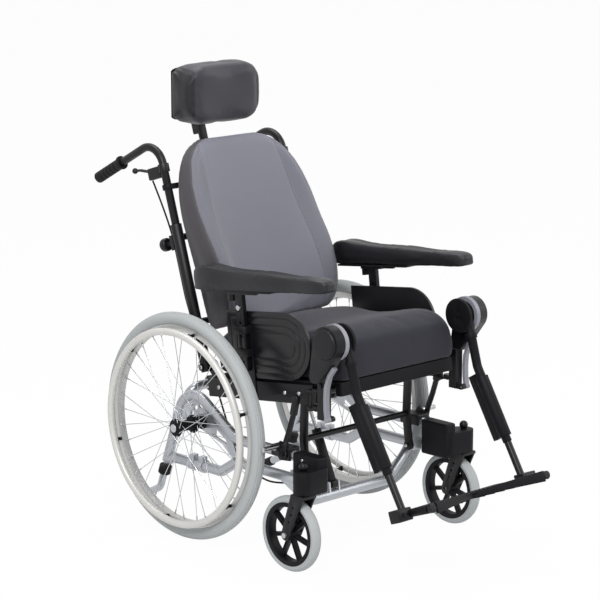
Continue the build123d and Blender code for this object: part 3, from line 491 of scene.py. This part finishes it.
def four_spokes(s):
    """One spoke from each side of each flange, leading and trailing, with its head and nipple."""
    runs = []
    for k, (flange, lead) in enumerate(((-s, -1), (s, -1), (-s, 1), (s, 1))):
        at_rim = radians(SPOKE_STEP * k)
        at_hub = at_rim + radians(SPOKE_LEAD) * lead
        x = flange * (FLANGE_X + (OUTER_HEAD if lead > 0 else INNER_HEAD))
        inner = (x, FLANGE_HOLES_R * cos(at_hub), FLANGE_HOLES_R * sin(at_hub))
        outer = (flange * RIM_OFFSET, SPOKE_END_R * cos(at_rim), SPOKE_END_R * sin(at_rim))
        nipple = tuple(o + (i - o) * NIPPLE_SHARE for i, o in zip(inner, outer))
        head = (flange * (FLANGE_X + lead * HEAD_DEPTH), inner[1], inner[2])
        runs += [(inner, outer, SPOKE_R), (nipple, outer, NIPPLE_R), (head, inner, SPOKE_R)]
    return bar_mesh("four_spokes", runs)


# Anodised rim: pale, soft metal whose satin hides its joint.
rim_metal = surface("satin_rim_alloy", "#c9c9c7", 0.42, metallic=0.6, grain=3.0, bump=0.04, tone=0.04)
# Drawn stainless wire: thin bright lines.
spoke_metal = surface("stainless_wire", "#c4c5c8", 0.22, metallic=1.0, grain=4.0, bump=0.02, tone=0.03)
# Lacquered push rim: a warm light grey, smoother to the hand than the rim behind it.
ring_coat = surface("push_rim_coat", "#d3d2cf", 0.4, metallic=0.25, grain=1.4, bump=0.05, tone=0.04)
for side, s in (("left", 1), ("right", -1)):
    centre = (s * WHEEL_X, WHEEL_Y, WHEEL_Z)
    stand_for(lathe(f"rear_tyre_{side}_moulded", tyre_profile(), centre, RING_STEPS, tread),
              f"rear_tyre_{side}")
    stand_for(lathe(f"rear_rim_{side}_rolled", RIM_LOOP, centre, RING_STEPS, rim_metal), f"rear_rim_{side}")
    stand_for(lathe(f"rear_hub_{side}_turned", [(s * x, r) for x, r in HUB_LOOP], centre, 48, moulded),
              f"rear_hub_{side}")
    stand_for(repeated(f"spokes_{side}_laced", four_spokes(s), SPOKE_GROUPS, centre, spoke_metal),
              f"spokes_{side}")
    ring_loop = [(s * PUSH_X + x, r) for x, r in arc_points(0, PUSH_R, PUSH_TUBE_R, 0, 345, 23)]
    stand_for(lathe(f"push_rim_{side}_ring", ring_loop, centre, RING_STEPS, ring_coat), f"push_rim_{side}")
    block = bar_mesh("rim_block", [((s * 12.3, 0, 261), (s * 31, 0, 260), 4.6),
                                   ((s * 27, 0, 260), (s * 33.5, 0, 259), 7.5)], 16)
    blocks = repeated(f"push_rim_blocks_{side}", block, BLOCKS, centre, moulded, radians(BLOCK_FIRST))
    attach(blocks, f"rear_wheel_{side}")
second_finish(finish_nodes(moulded, "wheel_axles"), steel, lambda point: abs(point.x) > AXLE_CAP_X / 1000)


# Wheel locks: steel brackets bolted to the upper rails, and levers whose zinc plated pin is pressed
# into the tyre.
finish_nodes(black_coat, "wheel_lock_brackets")
second_finish(finish_nodes(black_coat, "wheel_lock_lever"), steel, beside(267.2, 319, -142, 305, 9))


# Anti-tippers: bent silver tubes below the rear axle, each with a black collar where it is held and
# a rubber foot that meets the ground before the chair can fall back. Both have the same finish.
TIPPER_LEG, TIPPER_WAY = (0.3547, 0.0862), (0.892, -0.452)      # a (y, z) point and direction of the tube
COLLAR_FROM, FOOT_FROM = 0.1305, 0.0665                         # a height, and a distance along the tube


def collar_or_foot(point):
    along = (point.y - TIPPER_LEG[0]) * TIPPER_WAY[0] + (point.z - TIPPER_LEG[1]) * TIPPER_WAY[1]
    return point.z > COLLAR_FROM or along > FOOT_FROM


# Black rubber: matt and slightly dusty, for feet, collars, grips and cable sheaths.
rubber = surface("black_rubber", "#101011", 0.65, grain=0.8, bump=0.3, tone=0.1, in_Specular_IOR_Level=0.25)
second_finish(finish_nodes(silver_coat, "anti_tipper"), rubber, collar_or_foot)


# Tilt spring: a gas cylinder pinned to the front cross tube, whose bright rod pushes the seat's
# cross tube up.
finish_nodes(black_coat, "tilt_cylinder")
finish_nodes(steel, "tilt_rod")


# Seat frame: box section steel rails and round cross tubes that turn on the rear hoop, with a moulded
# seat plate on top and glossy side panels that keep clothes off the wheels.
SEAT_SCREWS = [(234.6, -313, 440, (1, 0, 0)), (234.6, -365, 447, (1, 0, 0)), (234.6, -60, 408, (1, 0, 0)),
               (234.6, 10, 450, (1, 0, 0))]
# Moulded ABS: as black as the nylon but shinier, so that the panels' grooves catch the light.
panel_gloss = surface("satin_black_abs", "#100f13", 0.32, grain=1.0, bump=0.08, tone=0.1,
                      in_Specular_IOR_Level=0.4)
finish_nodes(black_coat, "seat_frame")
finish_nodes(moulded, "seat_pan")
finish_nodes(panel_gloss, "side_panels")
screws("seat_rail_screws", SEAT_SCREWS, "seat", steel, 6.0)


# Seat cushion: moulded foam in a cover of dark knitted spacer fabric, whose top and front are one
# panel. It is blown up as cloth under pressure, then its side seams are drawn in.
SEAT_LEAN = radians(7)
SEAT_DOWN = (0, -sin(SEAT_LEAN), -cos(SEAT_LEAN))
HOOP_Y, HOOP_Z = 0.236, 0.386        # the tube that the seat turns on, from which the foam is measured
THIGH_LIFT = 0.010
SEAT_SEAM_X, SEAM_HALF, SEAT_DRAWN = 0.196, 0.003, 0.0016
CLOTH_FRAMES = 15


def points_of(mesh):
    places = np.empty(len(mesh.vertices) * 3)
    mesh.vertices.foreach_get("co", places)
    return places.reshape(-1, 3)


def normals_of(mesh):
    return np.array([v.normal[:] for v in mesh.vertices])


def blown_up(piece, start, away, free, cap, shrink):
    """Swells a piece as cloth from a slightly smaller shape. No point moves further than the cap."""
    piece.data.vertices.foreach_set("co", (start - away * shrink * free[:, None]).ravel())
    cloth = piece.modifiers.new("cloth", "CLOTH")
    cloth.settings.quality = 4
    cloth.settings.mass = 0.25
    cloth.settings.tension_stiffness = 14
    cloth.settings.compression_stiffness = 14
    cloth.settings.bending_stiffness = 0.6
    cloth.settings.use_pressure = True
    cloth.settings.uniform_pressure_force = 4
    cloth.settings.effector_weights.gravity = 0
    cloth.collision_settings.use_collision = False
    for step in range(1, CLOTH_FRAMES + 1):
        bpy.context.scene.frame_set(step)
    applied(piece)
    bpy.context.scene.frame_set(1)
    move = points_of(piece.data) - start
    size = np.linalg.norm(move, axis=1)
    move *= (np.minimum(size, cap) / np.maximum(size, 1e-9))[:, None] * free[:, None]
    piece.data.vertices.foreach_set("co", (start + move).ravel())


def stuffed(node, material, mesh=None, voxel=0.005, cap=0.006, shrink=0.003, backing=None, shaped=None,
            sew=None, calm=6):
    """A padded piece from its CAD solid: remeshed, swollen as cloth, held flat where it is backed.

    backing is the outward direction of the side that rests on something. shaped moves the places of
    the foam before it is covered. sew gives, from places and normals in metres, how deep each point
    is drawn in and which points belong to the side panels. calm is how often the cover is evened.
    """
    if mesh is None:
        mesh = mesh_of(node + "_foam", merged_copy(node))
    piece = link_mesh(node + "_padded", mesh, material)
    cells = piece.modifiers.new("cells", "REMESH")
    cells.mode = "VOXEL"
    cells.voxel_size = voxel
    cells.use_smooth_shade = True
    applied(piece)
    if shaped:
        piece.data.vertices.foreach_set("co", shaped(points_of(piece.data)).ravel())
        piece.data.update()
    start = points_of(piece.data)
    away = normals_of(piece.data)
    free = np.ones(len(start))
    if backing is not None:
        free = 1 - np.clip((away @ np.array(Vector(backing).normalized()) - 0.2) / 0.3, 0, 1)
    blown_up(piece, start, away, free, cap, shrink)
    rounder = piece.modifiers.new("rounder", "SUBSURF")
    rounder.levels = rounder.render_levels = 1
    calmer = piece.modifiers.new("calmer", "SMOOTH")
    calmer.factor = 0.5
    calmer.iterations = calm
    applied(piece)
    mesh = piece.data
    if sew:
        places = points_of(mesh)
        away = normals_of(mesh)
        dent, panel = sew(places, away)
        mesh.vertices.foreach_set("co", (places - away * dent[:, None]).ravel())
        mesh.attributes.new("side_panel", "FLOAT", "POINT").data.foreach_set("value", panel)
    mesh.update()
    mesh.shade_smooth()
    stand_for(piece, node)
    return piece


def upholstery(name, colour, side_colour, rough, grain=1.4, bump=0.3, tone=0.06, weave=0.0):
    """A cover whose side panels have their own colour; weave is its thread spacing in mm, if it has one."""
    made = surface(name, colour, rough, grain=grain, bump=bump, tone=tone, in_Sheen_Weight=0.15,
                   in_Specular_IOR_Level=0.3)
    tree = made.node_tree
    body = next(n for n in tree.nodes if n.type == "BSDF_PRINCIPLED")
    front = body.inputs["Base Color"].links[0].from_socket
    part = add(tree, "ShaderNodeAttribute", attribute_name="side_panel")
    ratio = tuple(b / a for a, b in zip(linear(colour)[:3], linear(side_colour)[:3])) + (1,)
    darker = add(tree, "ShaderNodeMix", [(6, front)], data_type="RGBA", blend_type="MULTIPLY", in_0=1.0,
                 in_7=ratio)
    mixed = add(tree, "ShaderNodeMix", [(0, part.outputs["Fac"]), (6, front), (7, darker.outputs[2])],
                data_type="RGBA")
    tree.links.new(mixed.outputs[2], body.inputs["Base Color"])
    if weave:
        where = next(n for n in tree.nodes if n.type == "TEX_COORD")
        threads = [add(tree, "ShaderNodeTexWave", [("Vector", where.outputs["Object"])], bands_direction=way,
                       in_Scale=2 * pi * 1000 / weave / 20) for way in ("X", "Z")]
        cloth = add(tree, "ShaderNodeMath", [(0, threads[0].outputs["Fac"]), (1, threads[1].outputs["Fac"])],
                    operation="ADD")
        fibres = body.inputs["Normal"].links[0].from_socket
        relief = add(tree, "ShaderNodeBump", [("Height", cloth.outputs[0]), ("Normal", fibres)],
                     in_Strength=0.25, in_Distance=weave / 3000)
        tree.links.new(relief.outputs[0], body.inputs["Normal"])
    return made


def smooth_step(value, low, high):
    share = np.clip((value - low) / (high - low), 0, 1)
    return share * share * (3 - 2 * share)


def fuller_front(places):
    """Lifts the foam's front, which carries the thighs."""
    y, z = places[:, 1] - HOOP_Y, places[:, 2] - HOOP_Z
    ahead = -y * cos(SEAT_LEAN) + z * sin(SEAT_LEAN)
    above = y * sin(SEAT_LEAN) + z * cos(SEAT_LEAN)
    lift = THIGH_LIFT * smooth_step(ahead, 0.16, 0.48) * smooth_step(above, 0.06, 0.12)
    moved = places.copy()
    moved[:, 1] -= lift * SEAT_DOWN[1]
    moved[:, 2] -= lift * SEAT_DOWN[2]
    return moved


def seat_seams(places, away):
    """A seam along each side, where the cover turns down, and no panel of another colour."""
    flat = np.abs(away[:, 0]) < 0.3      # the top and the front, which have no seam
    crease = np.abs(np.abs(places[:, 0]) - SEAT_SEAM_X) + 0.03 * flat
    return SEAT_DRAWN * np.exp(-(crease / SEAM_HALF) ** 2) * (away[:, 2] > -0.3), np.zeros(len(places))


# Knitted spacer fabric: a soft blue black without gloss. Its knit is drawn at 2.4 mm, about twice
# the real spacing, because a finer one doesn't show.
spacer_fabric = upholstery("knitted_spacer_fabric", "#23232d", "#1e1e26", 0.85, grain=1.6, bump=0.4,
                           tone=0.08, weave=2.4)
stuffed("seat_cushion", spacer_fabric, voxel=0.008, cap=0.004, backing=SEAT_DOWN, shaped=fuller_front,
        sew=seat_seams)


# Armrests: steel posts in the seat frame's receivers, each with a depth lever and screw, and pads of
# integral skin foam on a steel plate.
# Polyurethane skin: near black, smooth and slightly shiny where the forearm rests.
skin = surface("polyurethane_skin", "#18181c", 0.42, grain=1.6, bump=0.15, tone=0.08,
               in_Specular_IOR_Level=0.35)
second_finish(finish_nodes(black_coat, "armrest_post"), steel, beside(252.6, 258, 17.4, 640.5, 9))
for node in ("arm_pad_left", "arm_pad_right"):
    stuffed(node, skin, voxel=0.005, cap=0.002, shrink=0.001, backing=SEAT_DOWN)


# Back frame: two steel sleeves with bars between them, hinged to the seat frame, and a moulded shell
# whose eyes hang on the handle tubes.
finish_nodes(black_coat, "back_frame")
finish_nodes(moulded, "back_shell")


# Back cushion: slate covers on foam, a hollow centre panel sewn between two bolsters, with darker
# boxing round the sides. The seams are topstitched in a paler thread.
BACK_LEAN, HINGE_Y, HINGE_Z = radians(17.5), 10.0, 450.0        # hinge in mm, behind the axle and up
CUSHION_REAR = 21.5                                             # mm in front of the back tubes
SECTIONS = np.array([(88, 196, 62, 18), (104, 206, 80, 24), (200, 216, 98, 26), (300, 222, 92, 26),
                     (400, 226, 78, 24), (480, 220, 64, 20), (545, 194, 48, 16), (585, 150, 34, 13),
                     (603, 100, 22, 9)])      # mm up the back: half width, thickness, edge radius
PANEL_SEAM = ((100, 300, 560, 600), (164, 156, 134, 120))       # mm up the back, and out to the side
WAIST_UP, WAIST_REACH, WAIST_FULLER = 215, 130, 20              # mm
SHOULDERS_DRAWN = 0.05   # share of the width
PANEL_DRAWN, PANEL_HALF, BOXING_DRAWN, BOXING_HALF = 0.0018, 3.2, 0.0016, 3.0    # m deep, mm half width
BOLSTER_SHADE = 0.22     # share of the boxing's colour
STITCH_OUT, STITCH_PITCH, STITCH_HALF, STITCH_R = 5, 7.0, 2.0, 0.45      # mm
RAY_AHEAD, LINE_GAP, THREAD_LIFT = 200, 0.05, 0.0002             # mm, m, m


def on_back(places):
    """Places in the back's own mm: across, in front of the back tubes, and up along them."""
    y = places[:, 1] * 1000 - WHEEL_Y * 1000 - HINGE_Y
    z = places[:, 2] * 1000 - HINGE_Z
    ahead = -y * cos(BACK_LEAN) + z * sin(BACK_LEAN)
    return places[:, 0] * 1000, ahead, y * sin(BACK_LEAN) + z * cos(BACK_LEAN)


def from_back(across, behind, up):
    """The frame's place, in m, of one across, behind and up the back tubes, in mm."""
    return (across / 1000, WHEEL_Y + (HINGE_Y + behind * cos(BACK_LEAN) + up * sin(BACK_LEAN)) / 1000,
            (HINGE_Z - behind * sin(BACK_LEAN) + up * cos(BACK_LEAN)) / 1000)


def waist(up):
    """How far the bolsters come forward, in mm."""
    return WAIST_FULLER * np.exp(-((up - WAIST_UP) / WAIST_REACH) ** 2)


def shoulders(up):
    """The share of its width that the foam keeps."""
    return 1 - SHOULDERS_DRAWN * smooth_step(up, 380, 560)


def fuller_bolsters(places):
    """Brings the bolsters forward at the waist and draws the shoulders in."""
    across, ahead, up = on_back(places)
    forward = waist(up) / 1000 * smooth_step(np.abs(across), 110, 190) * smooth_step(ahead, 24, 80)
    moved = places.copy()
    moved[:, 0] *= shoulders(up)
    moved[:, 1] -= forward * cos(BACK_LEAN)
    moved[:, 2] += forward * sin(BACK_LEAN)
    return moved


def back_seams(places, away):
    """The seams beside the centre panel and round the boxing. Bolsters are a little darker than it."""
    across, ahead, up = on_back(places)
    half, high, edge = (np.interp(up, SECTIONS[:, 0], SECTIONS[:, k]) for k in (1, 2, 3))
    half = half * shoulders(up)
    high = high + waist(up)
    edge_x, edge_ahead = 0.97 * half - 0.3 * edge, CUSHION_REAR + high - 0.3 * edge
    crease = (np.abs(across) - edge_x + edge_ahead - ahead) / 1.414     # mm past the boxing's slanted edge
    front = smooth_step(-away[:, 1], 0.0, 0.35)
    seam = np.abs(across) - np.interp(up, *PANEL_SEAM)
    drawn = (PANEL_DRAWN * np.exp(-(seam / PANEL_HALF) ** 2) * front
             + BOXING_DRAWN * np.exp(-(crease / BOXING_HALF) ** 2))
    bolster = BOLSTER_SHADE * smooth_step(seam, -1.5, 1.5)
    side = smooth_step(crease, -1.5, 1.5)
    return drawn, np.maximum(bolster, side)


def stitches(name, piece, lines, body, material):
    """Geometry Nodes: short threads laid on the piece along lines of (across, up) on the back."""
    inward = Vector((0, cos(BACK_LEAN), -sin(BACK_LEAN)))
    places, ways, ups = [], [], []
    for line in lines:
        steps = np.concatenate([[0], np.cumsum(np.linalg.norm(np.diff(line, axis=0), axis=1))])
        for run in np.arange(0, steps[-1], STITCH_PITCH):
            across, up = (np.interp(run, steps, line[:, k]) for k in (0, 1))
            found, spot, normal, _ = piece.ray_cast(from_back(across, -RAY_AHEAD, up), inward)
            if found:
                places.append(spot + normal * THREAD_LIFT)
                ups.append(normal[:])
    for i in range(len(places)):
        after = places[min(i + 1, len(places) - 1)] - places[max(i - 1, 0)]
        ways.append(after.normalized()[:] if 0 < after.length < LINE_GAP else (0, 0, 1))
    group, given = new_pattern(name, {"Points": "Geometry", "Piece": "Object", "Finish": "Material"})
    shape = add(group, "GeometryNodeObjectInfo", [("Object", given.outputs["Piece"])])
    facing, along = (add(group, "GeometryNodeInputNamedAttribute", data_type="FLOAT_VECTOR", in_Name=label)
                     for label in ("facing", "along"))
    turn = add(group, "FunctionNodeAxesToRotation", [("Primary Axis", facing.outputs[0]),
                                                     ("Secondary Axis", along.outputs[0])],
               primary_axis="Z", secondary_axis="Y")
    placed = add(group, "GeometryNodeInstanceOnPoints",
                 [("Points", given.outputs["Points"]), ("Instance", shape.outputs["Geometry"]),
                  ("Rotation", turn.outputs[0])])
    end_pattern(group, given, placed)
    single = bar_mesh("thread", [((0, -STITCH_HALF, 0), (0, STITCH_HALF, 0), STITCH_R)], 6)
    carrier = grown(name, marked_points(name, places, facing=ups, along=ways), group,
                    {"Piece": single, "Finish": material})
    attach(carrier, body)


# Polyester cover: a flat slate grey with a faint bloom, and charcoal boxing.
slate_cover = upholstery("slate_cover", "#787883", "#454347", 0.6, grain=1.2, bump=0.2, tone=0.05)
# Sewing thread: dotted pale lines just outside the panel seams.
thread = surface("grey_thread", "#9a9aa4", 0.7, grain=0.5, bump=0.2, tone=0.05)
back_pad = stuffed("back_cushion", slate_cover, voxel=0.007, cap=0.005,
                   backing=(0, cos(BACK_LEAN), -sin(BACK_LEAN)), shaped=fuller_bolsters, sew=back_seams)
seam_ups = np.linspace(120, 575, 24)
seam_out = np.interp(seam_ups, *PANEL_SEAM) + STITCH_OUT
seam_lines = [np.column_stack([s * seam_out, seam_ups]) for s in (1, -1)]
stitches("back_stitches", back_pad, seam_lines, "back", thread)


# Push handles: bent steel tubes that slide in the back frame's sleeves, each with a ribbed rubber grip
# and a release lever on a clamp.
finish_nodes(black_coat, "push_handle", "release_lever")
finish_nodes(rubber, "grip")


# Headrest: foam under a soft coated cover, with side panels sewn to the front, on a black carrier
# that tips on a flat steel bar.
HEAD_CUT, CARRIER_GAP, HEAD_ROUND_Y, HEAD_Z = 0.4195, 0.0005, 0.415, 1.146
HEAD_HALF, HEAD_SEAM_X, HEAD_DRAWN = 84, 0.112, 0.0012          # mm, m, m
BLOCK_HALVES = ((0, 95, 126, 134), (77, 76, 68, 50))            # mm across, and half the foam's height


def cut_copy(node, level, keep_front):
    """The part of a CAD piece in front of or behind a plane across Y, closed at the cut."""
    shape = merged_copy(node)
    cut = bmesh.ops.bisect_plane(shape, geom=shape.verts[:] + shape.edges[:] + shape.faces[:],
                                 plane_co=(0, level, 0), plane_no=(0, 1, 0), clear_outer=keep_front,
                                 clear_inner=not keep_front)
    bmesh.ops.holes_fill(shape, edges=[e for e in cut["geom_cut"] if isinstance(e, bmesh.types.BMEdge)])
    return mesh_of(node + "_part", shape)


def end_curve(across, flat, reach, power, least):
    """Half the height of an end that falls away from the flat part of the front, in mm."""
    return HEAD_HALF * np.sqrt(np.maximum(least, 1 - np.maximum(0, (across - flat) / reach) ** power))


def fuller_head(places):
    """A taller crown in the middle and, towards the front, rounder ends than the foam's block."""
    across = np.abs(places[:, 0]) * 1000
    full = end_curve(across, 70, 84, 2.4, 0.05)
    rounded = end_curve(across, 72, 64, 2.2, 0.06)
    wanted = full + (rounded - full) * smooth_step(HEAD_ROUND_Y - places[:, 1], 0.0, 0.04)
    moved = places.copy()
    moved[:, 2] = HEAD_Z + (places[:, 2] - HEAD_Z) * wanted / np.interp(across, *BLOCK_HALVES)
    return moved


def headrest_seams(places, away):
    """A seam at each end of the front, past which the side panel is darker."""
    side = np.abs(places[:, 0]) - HEAD_SEAM_X
    return HEAD_DRAWN * np.exp(-(side / SEAM_HALF) ** 2), smooth_step(side, -0.0015, 0.0015)


# Coated fabric: a dark grey with a soft shine along its bends, and black side panels.
coated_cover = upholstery("coated_cover", "#313138", "#1b1b1f", 0.45, grain=1.2, bump=0.12, tone=0.05)
stuffed("headrest_pad", coated_cover, mesh=cut_copy("headrest_pad", HEAD_CUT, True), voxel=0.005, cap=0.003,
        shrink=0.002, shaped=fuller_head, sew=headrest_seams, calm=14)
carrier = link_mesh("headrest_carrier", cut_copy("headrest_pad", HEAD_CUT + CARRIER_GAP, False), black_coat)
crisp(carrier.data, 35)
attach(carrier, "headrest_pad")
finish_nodes(black_coat, "headrest_bar")


# Leg rests: a hanger whose knee housing carries a pale ring, a disc with a fluted drum that swings
# the leg tube, a pale release lever down the post, and a sliding tube with its foot plate.
KNEE_Y, KNEE_Z, KNEE_R = -0.324, 0.604, 44.0                    # m, m, mm
RING_LOOP = ((235.2, 35), (235.2, KNEE_R + 1.6), (236.2, KNEE_R + 2.6), (246.6, KNEE_R + 2.6),
             (247.4, KNEE_R + 1.8), (247.4, KNEE_R - 2))        # mm out from the middle, and radius
FLUTES, FLUTE_IN, FLUTE_OUT, FLUTE_UP, FLUTE_R = 60, 218.2, 234.2, KNEE_R - 10, 1.1      # mm
# Grey nylon: matt, and paler than the black parts round it, for the levers and the knees' rings.
pale = surface("grey_moulding", "#8f8f99", 0.45, grain=0.8, bump=0.1, tone=0.04)
finish_nodes(black_coat, "leg_hanger", "leg_lower")
finish_nodes(moulded, "leg_upper", "calf_sleeve", "foot_plate")
finish_nodes(pale, "leg_lever")
for side, s in (("left", 1), ("right", -1)):
    ring = lathe(f"knee_ring_{side}", [(s * x, r) for x, r in RING_LOOP], (0, KNEE_Y, KNEE_Z), 96, pale)
    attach(ring, f"leg_hanger_{side}")
    flute = bar_mesh("drum_flute", [((s * FLUTE_IN, 0, FLUTE_UP), (s * FLUTE_OUT, 0, FLUTE_UP), FLUTE_R)], 6)
    flutes = repeated(f"drum_flutes_{side}", flute, FLUTES, (0, KNEE_Y, KNEE_Z), moulded)
    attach(flutes, f"leg_upper_{side}")


# Tilt cable: a steel wire in a black sheath, in two lengths. One runs from the right lever's clamp
# down the back tube to the hinge, the other on under the seat to the tilt spring.
def cable(name, node, route, diameter=0.005):
    """A sheathed cable: its route's points are the control points of one smooth curve."""
    line = bpy.data.curves.new(name, "CURVE")
    line.dimensions = "3D"
    line.bevel_depth = diameter / 2
    line.bevel_resolution = 3
    line.use_fill_caps = True
    spline = line.splines.new("NURBS")
    spline.points.add(len(route) - 1)
    for point, place in zip(spline.points, route):
        point.co = (*place, 1)
    spline.use_endpoint_u = True
    spline.order_u = 3
    spline.resolution_u = 10
    line.materials.append(rubber)
    piece = bpy.data.objects.new(name, line)
    bpy.context.collection.objects.link(piece)
    stand_for(piece, node)
    highlight_colour = bpy.data.objects.new(name + "_centre", line.copy())
    highlight_colour.data.bevel_depth = 0
    path = [v.co.copy() for v in bpy.data.meshes.new_from_object(highlight_colour).vertices]
    bpy.data.objects.remove(highlight_colour)


cable("cable_to_lever", "tilt_cable_upper",
      [from_back(*p) for p in ((-218, 56, 515), (-207, 36, 390), (-207, 36, 290), (-212, 31, 130),
                               (-182, 31, 30))])
cable("cable_to_spring", "tilt_cable_lower",
      [(x / 1000, WHEEL_Y + y / 1000, z / 1000)
       for x, y, z in ((-180, 44, 470), (-180, 26, 420), (-180, -60, 231), (-180, -160, 164),
                       (-150, -235, 164), (-67, -262, 170), (-67, -287, 181.5))])
